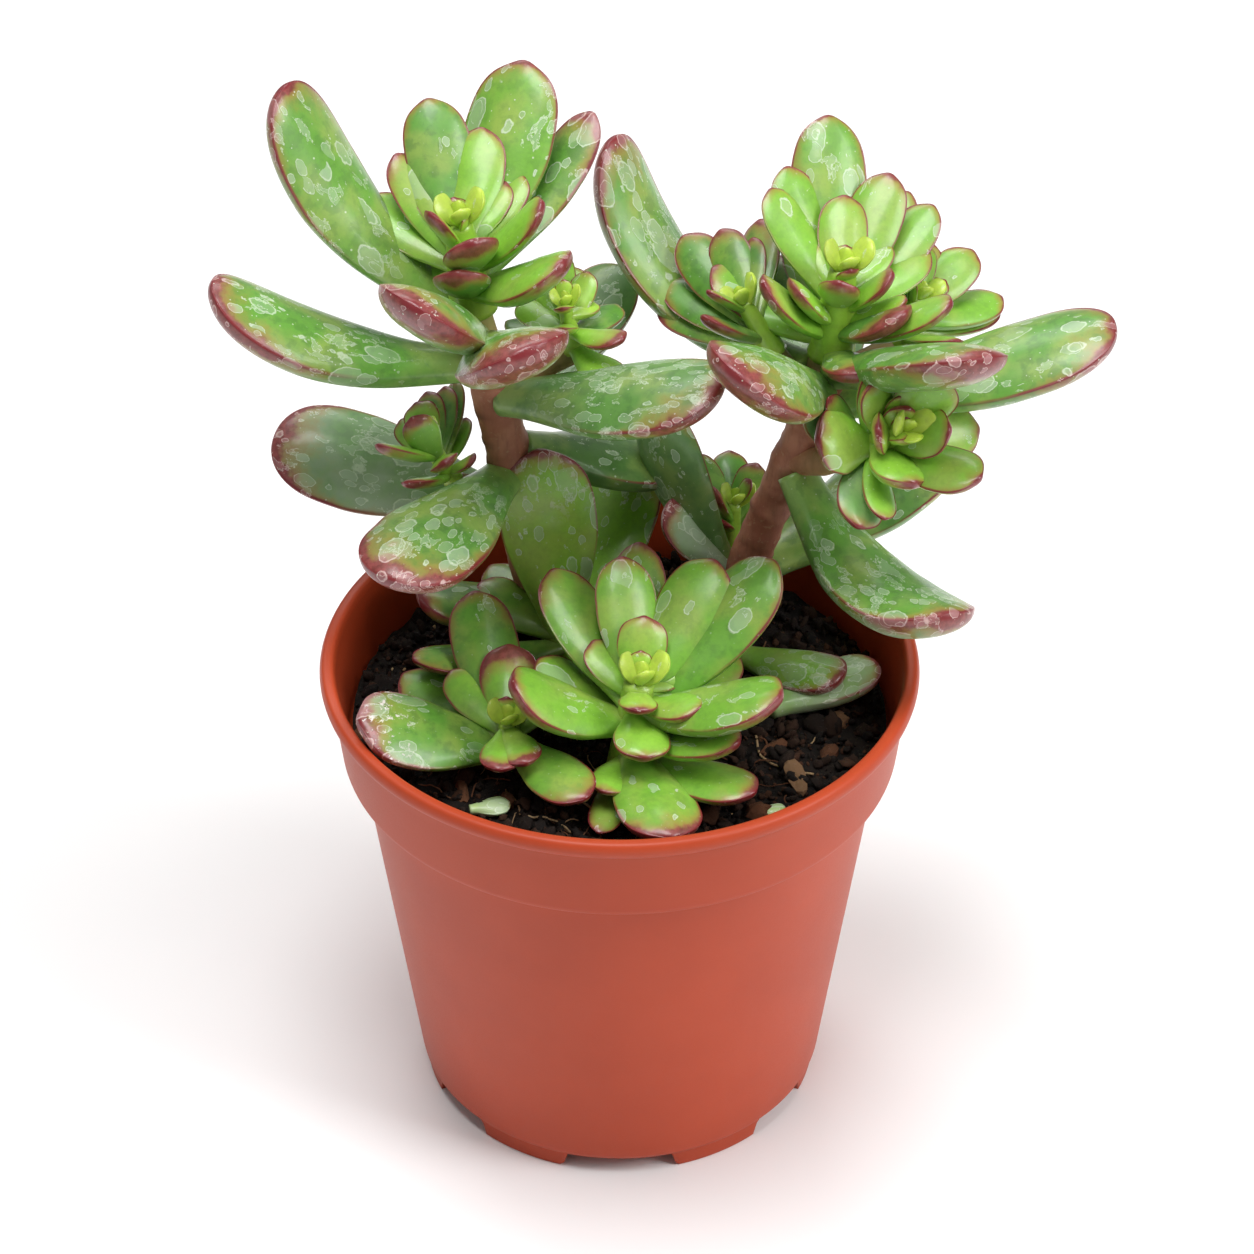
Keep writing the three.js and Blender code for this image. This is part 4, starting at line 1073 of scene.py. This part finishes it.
potForm = {
    "rimRadius": 52.5, "mouthRadius": 50.1, "height": 89.7,
    "collarFoot": 71.9, "collarRadius": 49.1, "bodyTopRadius": 46.1, "bodyFootRadius": 37.0,
    "footHeight": 3.3, "footRadius": 36.0, "wall": 1.3,
    "drainRadius": 3.5, "drainRing": 24, "drainCount": 5, "drainSides": 40,
    "sides": 288,
    "longStep": 2.5,  # the outline has a point at least this often
    "oval": 0.10,     # never quite round
    "shadeAndDirtTop": 84.5,  # the inner wall has no painted shade or dirt above this height
    "shadeAndDirtFade": 6,
}
potColours = {
    "deep": rgb(178, 66, 34),
    "light": rgb(186, 71, 38),
    "speck": rgb(160, 64, 40),
    # dark brown for the inner wall's painted shade and its soil dirt
    "shadeAndDirt": rgb(48, 32, 26),
}
# Where the foot ring is cut away: [middle, width] in degrees
footNotches = [[0, 32], [54.5, 22], [125.5, 22], [180, 32], [234.5, 22], [305.5, 22]]


def roundedOutline(corners, radii, steps=6):
    # The outline through the corners with each inner corner turned by a small arc of its own radius.
    points = [np.array(corners[0], float)]
    for before, corner, after, radius in zip(corners, corners[1:], corners[2:], radii):
        before, corner, after = (np.array(p, float) for p in (before, corner, after))
        reach = min(radius, 0.45 * np.linalg.norm(corner - before), 0.45 * np.linalg.norm(after - corner))
        start = corner + (before - corner) / np.linalg.norm(before - corner) * reach
        end = corner + (after - corner) / np.linalg.norm(after - corner) * reach
        t = np.linspace(0, 1, steps)[:, None]
        points.extend((1 - t) ** 2 * start + 2 * t * (1 - t) * corner + t ** 2 * end)
    points.append(np.array(corners[-1], float))
    return np.array(points)


def potMaterial():
    inks = potColours
    material, tree, shader = newMaterial("pottedPlastic")
    place = objectPlace(tree)
    cloud = noise(tree, place, 0.035, 4.0, 0.55)
    grit = noise(tree, place, 2.4, 4.0, 0.7)
    # Painted shade with some real soil dirt on the inner wall: darker towards the soil, broken up into
    # patches by noise.
    shadeAndDirtBreakup = ramp(tree, noise(tree, place, 0.35, 4.0, 0.7), 0.34, 0.6, 0.12, 1.0)
    shadeAndDirt = calc(tree, "MULTIPLY", attribute(tree, "potShare")[0], shadeAndDirtBreakup)
    paint = blendColour(tree, ramp(tree, cloud, 0.3, 0.7), inks["deep"], inks["light"])
    paint = blendColour(tree, ramp(tree, grit, 0.55, 0.75, 0.0, 0.10), paint, inks["speck"])
    paint = blendColour(tree, calc(tree, "MULTIPLY", shadeAndDirt, 0.85), paint, inks["shadeAndDirt"])
    feed(tree, paint, shader["Base Color"])
    rough = calc(tree, "MULTIPLY_ADD", grit, 0.14, calc(tree, "MULTIPLY_ADD", shadeAndDirt, 0.3, 0.36))
    feed(tree, rough, shader["Roughness"])
    feed(tree, bump(tree, grit, 0.12, 0.00015), shader["Normal"])
    shader["Specular IOR Level"].default_value = 0.32
    shader["Subsurface Weight"].default_value = 0.04
    shader["Subsurface Scale"].default_value = 0.002
    return material


def potOutline():
    # Up the outside from under the floor, over the lip and down the inside: the corners and the radius
    # of the small arc in each, with more points on the long stretches.
    f = potForm
    height, wall, foot, footRadius = f["height"], f["wall"], f["footHeight"], f["footRadius"]
    rim, mouth, collarFoot, collar = f["rimRadius"], f["mouthRadius"], f["collarFoot"], f["collarRadius"]
    bodyTop, bodyFoot = f["bodyTopRadius"], f["bodyFootRadius"]
    corners = [
        (footRadius - wall - 6, foot), (footRadius - wall, foot), (footRadius - wall, 0), (footRadius, 0),
        (footRadius + 0.1, foot), (bodyFoot, foot + 1), (bodyTop, collarFoot + 0.3),
        (collar - 0.3, collarFoot), (collar, collarFoot + 0.8), (collar + 1.6, height - 3.4),
        (rim - 0.5, height - 2.9), (rim, height - 1.6), (rim - 0.6, height), (mouth, height - 0.1),
        (mouth - 0.5, height - 1.2), (collar - wall, collarFoot + 1.6), (bodyTop - wall, collarFoot - 0.6),
        (bodyFoot - wall, foot + wall), (bodyFoot - wall - 6, foot + wall),
    ]
    radii = [0.2, 0.3, 0.3, 0.3, 0.6, 0.8, 0.5, 0.5, 0.8, 0.5, 1.0, 1.2, 0.9, 0.9, 1.0, 1.5, 1.5]
    outline = roundedOutline(corners, radii)
    walked = np.concatenate([[0], np.cumsum(np.linalg.norm(np.diff(outline, axis=0), axis=1))])
    at = np.unique(np.concatenate([walked, np.arange(0, walked[-1], f["longStep"])]).round(4))
    return np.stack([np.interp(at, walked, outline[:, k]) for k in (0, 1)], axis=-1)


def notchShare(q):
    # 1 where the foot ring is cut away, 0 where it stands on the floor.
    notch = np.zeros_like(q)
    for middle, wide in footNotches:
        away = np.abs((np.degrees(q) - middle + 180) % 360 - 180)
        notch = np.maximum(notch, smoothStep((wide / 2 - away) / 1.4 + 0.5))
    return notch


def buildPot():
    # The outline turned round the axis, with its foot ring lifted at the notches.
    foot, wall = potForm["footHeight"], potForm["wall"]
    outline = potOutline()
    q = np.linspace(0, 2 * math.pi, potForm["sides"], endpoint=False)
    radius = np.broadcast_to(outline[:, :1], (len(outline), len(q))).copy()
    level = np.broadcast_to(outline[:, 1:], radius.shape).copy()
    lifted = np.maximum(level, notchShare(q)[None, :] * (foot - 0.05))
    level = np.where(level < foot, lifted, level)
    radius = radius + potForm["oval"] * np.sin(2 * q + 0.6)[None, :] * (level > foot + 1)
    points = np.stack([radius * np.sin(q), -radius * np.cos(q), level], axis=-1)
    inner = (np.arange(len(outline)) > len(outline) * 0.6)[:, None] * np.ones_like(radius)
    # How much painted shade and soil dirt the inner wall takes, growing towards the soil.
    shadeAndDirt = smoothStep((potForm["shadeAndDirtTop"] - level) / potForm["shadeAndDirtFade"]) * inner
    marks = {"potShare": np.stack([shadeAndDirt, np.zeros_like(shadeAndDirt), np.zeros_like(shadeAndDirt)], axis=-1)}
    wallPart = tubePart(points, np.array([0, 0, foot]), np.array([0, 0, foot + wall]), marks)
    pot = makePiece("pot", [wallPart], potMaterial(), ["pot"])
    cutter = drainCutter()
    cut = pot.modifiers.new("drainHoles", "BOOLEAN")
    cut.operation = "DIFFERENCE"
    cut.solver = "EXACT"
    cut.object = cutter
    bpy.context.view_layer.objects.active = pot
    bpy.context.view_layer.update()
    bpy.ops.object.modifier_apply(modifier=cut.name)
    bpy.data.objects.remove(cutter)


def drainCutter():
    # Upright rods in a ring, where the holes go through the floor.
    f = potForm
    q = np.linspace(0, 2 * math.pi, f["drainSides"], endpoint=False)
    ring = f["drainRadius"] * np.stack([np.cos(q), np.sin(q), np.zeros_like(q)], axis=-1)
    points, faces = [], []
    for k in range(f["drainCount"]):
        turn = 2 * math.pi * k / f["drainCount"]
        middle = np.array([f["drainRing"] * math.cos(turn), f["drainRing"] * math.sin(turn), 0])
        low = middle + [0, 0, f["footHeight"] - 2]
        high = middle + [0, 0, f["footHeight"] + f["wall"] + 2]
        rod = tubePart(np.stack([ring + low, ring + high]), low, high)
        first = k * len(rod["points"])
        points += rod["points"].tolist()
        faces += (rod["quads"] + first).tolist() + (rod["tris"] + first).tolist()
    mesh = bpy.data.meshes.new("drainCutter")
    mesh.from_pydata(((np.array(points) + potAxis) * mm).tolist(), [], faces)
    cutter = bpy.data.objects.new("drainCutter", mesh)
    bpy.context.scene.collection.objects.link(cutter)
    return cutter


buildPot()
print("pot ready")


# Soil

soilForm = {
    "rings": 90, "sides": 240, "edge": 47.0,
    "swells": 0.63,    # heights in millimetres
    "clods": 0.54,
    "grit": 0.28,
    "wallDrop": 0.8,   # how far the soil falls beside the wall
    "dropFrom": 40,
    "bitSeed": 25,
    "fibreSeed": 31, "fibres": 60, "fibreReach": 44, "fibrePoints": 16, "fibreRows": 30, "fibreCols": 6,
}
soilColours = {
    "wet": rgb(12, 8, 6),
    "dry": rgb(30, 20, 14),
    "bark": rgb(96, 60, 38),
    "dust": rgb(84, 58, 40),
    "fibre": rgb(196, 166, 124),
}
# Loose grains: [count, split for a finer ball, sizes, flatness, tones, seed, share of its size it stands up]
soilGrains = [
    [3600, 0, (0.5, 1.7), (0.6, 1.0), (0.1, 0.75), 21, 0.3],
    [1150, 1, (1.3, 3.4), (0.6, 1.0), (0.1, 0.62), 22, 0.3],
    [60, 1, (2.4, 5.2), (0.25, 0.5), (0.2, 0.9), 23, 0.25],
    [30, 0, (0.5, 1.0), (0.5, 0.9), (1.5, 2.0), 24, 0.5],
]
# Bits that stand out on the soil: [x, y, heading, length, width, thickness, tone]
notedBits = [
    [30.3, -19.8, 104, 9.5, 3.8, 2.6, 1.3], [23.5, -30, 10, 5, 3.6, 3, 1.0],
    [27, -11.5, 30, 6, 3, 2.2, 1.05], [-19.5, -27, 40, 4.5, 3.4, 3, 1.05],
    [36.5, -12.5, 70, 4, 3, 2.6, 0.9], [32.6, 13.5, 130, 4.6, 3, 2.4, 1.0],
    [-27, -22.5, 95, 8, 2.2, 1.8, 1.15], [38.5, -3.5, 60, 4.4, 3.6, 2.6, 1.25],
    [-37.5, 6, 80, 4.2, 3, 2.4, 0.9], [-4.5, -38.5, 20, 4, 2.6, 2.2, 0.95],
    [6, 38, 15, 6, 3, 2.2, 1.05], [-25, 34, 150, 7, 2.6, 2, 1.15],
]
# The longest root threads in view, right of the front head and left of it
notedFibres = [
    [(23.5, -5.7), -52, 19, 0.55, 0.22, 1.5, 3],
    [(-16.4, -29), -30, 10, 0.1, 0.18, 1.6, 5],
]


def soilHeight(x, y):
    # The soil's top: broad swells, small clods, and a fall towards the wall.
    flat = np.stack([x, y, np.zeros_like(x)], axis=-1)
    away = np.hypot(x, y)
    f = soilForm
    uneven = f["swells"] * ripple(flat, 24, 11) + f["clods"] * ripple(flat, 6, 12)
    uneven = uneven + f["grit"] * ripple(flat, 2.2, 13)
    drop = f["wallDrop"] * smoothStep((away - f["dropFrom"]) / (f["edge"] - f["dropFrom"]))
    return soilTop - 0.5 + uneven - drop


def soilMaterial():
    inks = soilColours
    material, tree, shader = newMaterial("pottingSoil")
    place = objectPlace(tree)
    tone = attribute(tree, "crumbTone")[0]
    broad = noise(tree, place, 0.5, 4.0, 0.6)
    fine = noise(tree, place, 3.5, 5.0, 0.75)
    wet = noise(tree, place, 1.3, 3.0, 0.6)
    paint = blendColour(tree, ramp(tree, broad, 0.35, 0.65), inks["wet"], inks["dry"])
    paint = blendColour(tree, ramp(tree, tone, 0.25, 1.1, 0.0, 0.95), paint, inks["bark"])
    paint = blendColour(tree, ramp(tree, fine, 0.58, 0.76, 0.0, 0.35), paint, inks["dust"])
    paint = blendColour(tree, ramp(tree, tone, 1.1, 1.8), paint, inks["fibre"])
    feed(tree, paint, shader["Base Color"])
    feed(tree, ramp(tree, wet, 0.56, 0.68, 0.85, 0.4), shader["Roughness"])
    shader["Specular IOR Level"].default_value = 0.28
    feed(tree, bump(tree, fine, 0.7, 0.0005), shader["Normal"])
    return material


def ballPoints(detail):
    # The corners and faces of an icosahedron, split once for a finer ball.
    g = (1 + math.sqrt(5)) / 2
    corners = np.array([[-1, g, 0], [1, g, 0], [-1, -g, 0], [1, -g, 0], [0, -1, g], [0, 1, g],
                        [0, -1, -g], [0, 1, -g], [g, 0, -1], [g, 0, 1], [-g, 0, -1], [-g, 0, 1]], float)
    faces = np.array([[0, 11, 5], [0, 5, 1], [0, 1, 7], [0, 7, 10], [0, 10, 11], [1, 5, 9], [5, 11, 4],
                      [11, 10, 2], [10, 7, 6], [7, 1, 8], [3, 9, 4], [3, 4, 2], [3, 2, 6], [3, 6, 8],
                      [3, 8, 9], [4, 9, 5], [2, 4, 11], [6, 2, 10], [8, 6, 7], [9, 8, 1]])
    corners /= np.linalg.norm(corners[0])
    if detail:
        edges = np.sort(np.vstack([faces[:, [0, 1]], faces[:, [1, 2]], faces[:, [2, 0]]]), axis=1)
        edges, back = np.unique(edges, axis=0, return_inverse=True)
        middles = corners[edges].mean(axis=1)
        middles /= np.linalg.norm(middles, axis=1, keepdims=True)
        ab, bc, ca = back.reshape(3, -1) + len(corners)
        a, b, c = faces.T
        split = ((a, ab, ca), (b, bc, ab), (c, ca, bc), (ab, bc, ca))
        faces = np.vstack([np.stack(t, axis=-1) for t in split])
        corners = np.vstack([corners, middles])
    return corners, faces


def grainsPart(shapes, faces, yaw, middles, tones, smooth):
    # Many balls in one part, each turned by its yaw, set at its middle and of its own tone.
    x, y, z = shapes[..., 0], shapes[..., 1], shapes[..., 2]
    c, s = np.cos(yaw)[:, None], np.sin(yaw)[:, None]
    turned = np.stack([x * c - y * s, x * s + y * c, z], axis=-1)
    count, corners = x.shape
    firsts = (np.arange(count) * corners)[:, None, None]
    tone = np.repeat(tones, corners)
    return {
        "points": (turned + middles[:, None, :]).reshape(-1, 3), "quads": np.zeros((0, 4), int),
        "tris": (faces[None] + firsts).reshape(-1, 3), "smooth": smooth,
        "marks": {"crumbTone": np.stack([tone, np.zeros_like(tone), np.zeros_like(tone)], axis=-1)},
    }


def bitPart(seed):
    # The noted bits: rough balls with their corners moved by a draw, each of its own measures and place.
    draw = np.random.default_rng(seed)
    corners, faces = ballPoints(1)
    rows = np.array(notedBits)
    shapes = corners[None] * draw.uniform(0.78, 1.2, (len(rows), len(corners), 1)) * rows[:, None, 3:6] / 2
    shapes[..., 2] += 0.12 * shapes[..., 0]
    x, y = rows[:, 0], rows[:, 1]
    middles = np.stack([x, y, soilHeight(x, y) + rows[:, 5] * 0.3], axis=-1)
    return grainsPart(shapes, faces, np.radians(rows[:, 2]), middles, rows[:, 6], False)


def crumbPart(count, detail, sizes, flatness, tones, seed, sink):
    # Rough grains: a ball with its corners moved by a draw, stretched, turned and set on the soil.
    draw = np.random.default_rng(seed)
    corners, faces = ballPoints(detail)
    shapes = corners[None] * draw.uniform(0.68, 1.28, (count, len(corners), 1))
    size = sizes[0] * (sizes[1] / sizes[0]) ** (draw.random(count) ** 1.6)
    width, depth = draw.uniform(0.5, 0.95, count), draw.uniform(*flatness, count)
    stretch = np.stack([np.ones(count), width, depth], axis=-1)
    shapes = shapes * (stretch * size[:, None] / 2)[:, None, :]
    yaw, lean = draw.uniform(0, 2 * math.pi, count), draw.normal(0, 0.35, (2, count))
    shapes[..., 2] += shapes[..., 0] * lean[0][:, None] + shapes[..., 1] * lean[1][:, None]
    reach = (soilForm["edge"] - 0.6) * np.sqrt(draw.random(count))
    spin = draw.uniform(0, 2 * math.pi, count)
    x, y = reach * np.cos(spin), reach * np.sin(spin)
    middles = np.stack([x, y, soilHeight(x, y) + size * sink], axis=-1)
    return grainsPart(shapes, faces, yaw, middles, draw.uniform(*tones, count), detail > 0)


def fibrePart(start, heading, length, curve, radius, tone, seed):
    # A thin root thread that lies over the crumbs in a bent line.
    t = np.linspace(0, 1, soilForm["fibrePoints"])
    angle = math.radians(heading) + curve * (t - 0.5) * 2 + 0.3 * np.sin(t * 7 + seed)
    step = length / (len(t) - 1)
    x = start[0] + np.concatenate([[0], np.cumsum(np.cos(angle[:-1]) * step)])
    y = start[1] + np.concatenate([[0], np.cumsum(np.sin(angle[:-1]) * step)])
    z = soilHeight(x, y) + 0.75 + 0.35 * np.sin(t * 5 + seed)
    path = np.stack([x, y, z, np.full_like(t, radius)], axis=-1)
    rings, line, _, _ = tubeRings(path, soilForm["fibreRows"], soilForm["fibreCols"])
    return tubePart(rings, line[0], line[-1], {"crumbTone": evenMark(rings.shape, (tone, 0.0, 0.0))})


def buildSoil():
    # A plug that fills the pot's inside up to the soil's uneven top, with loose grains and threads on it.
    f = soilForm
    q = np.linspace(0, 2 * math.pi, f["sides"], endpoint=False)
    inset = potForm["wall"] + 0.5
    floor = potForm["footHeight"] + potForm["wall"] + 0.3
    sunk = [(potForm["bodyFootRadius"] - inset, floor),
            (potForm["bodyTopRadius"] - inset, potForm["collarFoot"] - 1),
            (f["edge"], potForm["collarFoot"] + 2)]
    rings = [np.stack([r * np.cos(q), r * np.sin(q), np.full_like(q, z)], axis=-1) for r, z in sunk]
    for share in np.linspace(1, 0, f["rings"], endpoint=False):
        x, y = f["edge"] * share * np.cos(q), f["edge"] * share * np.sin(q)
        rings.append(np.stack([x, y, soilHeight(x, y)], axis=-1))
    rings = np.stack(rings)
    top = soilHeight(np.array([0.0]), np.array([0.0]))[0]
    marks = {"crumbTone": np.zeros(rings.shape)}
    parts = [tubePart(rings, np.array([0, 0, floor]), np.array([0, 0, top]), marks)]
    parts.extend(crumbPart(*grains) for grains in soilGrains)
    parts.append(bitPart(f["bitSeed"]))
    draw = np.random.default_rng(f["fibreSeed"])
    for k in range(f["fibres"]):
        reach, spin = f["fibreReach"] * math.sqrt(draw.random()), draw.uniform(0, 2 * math.pi)
        parts.append(fibrePart((reach * math.cos(spin) * 0.9, reach * math.sin(spin) * 0.9),
                               draw.uniform(0, 360), draw.uniform(4, 13), draw.uniform(-1, 1),
                               draw.uniform(0.08, 0.2), draw.uniform(0.9, 1.6), k))
    parts.extend(fibrePart(*row) for row in notedFibres)
    makePiece("soil", parts, soilMaterial(), ["soil"])


buildSoil()
print("soil ready")


# Studio

studio = {
    "lens": 117.7,
    "cameraPlace": (1.3, -570.2, 521.3),  # millimetres from the pot's axis
    "lookDown": 36.74,
    "floorSize": 6.0,
    "floorTone": 0.93,
    "roomLight": 0.2,
    "aim": (0, 0, 0.1),                   # where the windows point, in metres
    "windows": {                          # place in metres, width and height, power
        "keyWindow": [(0.95, -0.4, 0.95), (0.5, 0.8), 11.0],
        "topWindow": [(-0.1, -0.1, 1.5), (0.8, 0.7), 17.0],
        "fillWindow": [(-0.9, -0.7, 0.9), (0.8, 0.8), 0.4],
        "backWindow": [(-0.25, 0.95, 1.05), (0.9, 0.5), 5.0],
    },
}


def buildStudio():
    scene = bpy.context.scene
    data = bpy.data.cameras.new("studioCamera")
    data.sensor_width = 36
    data.lens = studio["lens"]
    data.clip_start, data.clip_end = 0.01, 20
    camera = bpy.data.objects.new("studioCamera", data)
    camera.location = ((np.array(studio["cameraPlace"]) + potAxis) * mm).tolist()
    camera.rotation_euler = (math.radians(90 - studio["lookDown"]), 0, 0)
    scene.collection.objects.link(camera)
    scene.camera = camera

    size, tone = studio["floorSize"] / 2, studio["floorTone"]
    corners = [(-size, -size, 0), (size, -size, 0), (size, size, 0), (-size, size, 0)]
    mesh = bpy.data.meshes.new("studioFloor")
    mesh.from_pydata(corners, [], [(0, 1, 2, 3)])
    floor = bpy.data.objects.new("studioFloor", mesh)
    material, _, shader = newMaterial("paleFloor")
    shader["Base Color"].default_value = (tone, tone, tone, 1)
    shader["Roughness"].default_value = 0.9
    mesh.materials.append(material)
    scene.collection.objects.link(floor)

    world = bpy.data.worlds.new("softRoom")
    world.use_nodes = True
    world.node_tree.nodes["Background"].inputs["Color"].default_value = (1, 1, 1, 1)
    world.node_tree.nodes["Background"].inputs["Strength"].default_value = studio["roomLight"]
    scene.world = world

    for name, (place, extent, power) in studio["windows"].items():
        lamp = bpy.data.lights.new(name, "AREA")
        lamp.shape = "RECTANGLE"
        lamp.size, lamp.size_y = extent
        lamp.energy = power
        holder = bpy.data.objects.new(name, lamp)
        holder.location = place
        away = np.array(place) - np.array(studio["aim"])
        across = math.hypot(away[0], away[1])
        holder.rotation_euler = (math.atan2(across, away[2]), 0, math.atan2(away[0], -away[1]))
        scene.collection.objects.link(holder)
    scene.view_settings.view_transform = "Standard"


buildStudio()
print("studio ready")
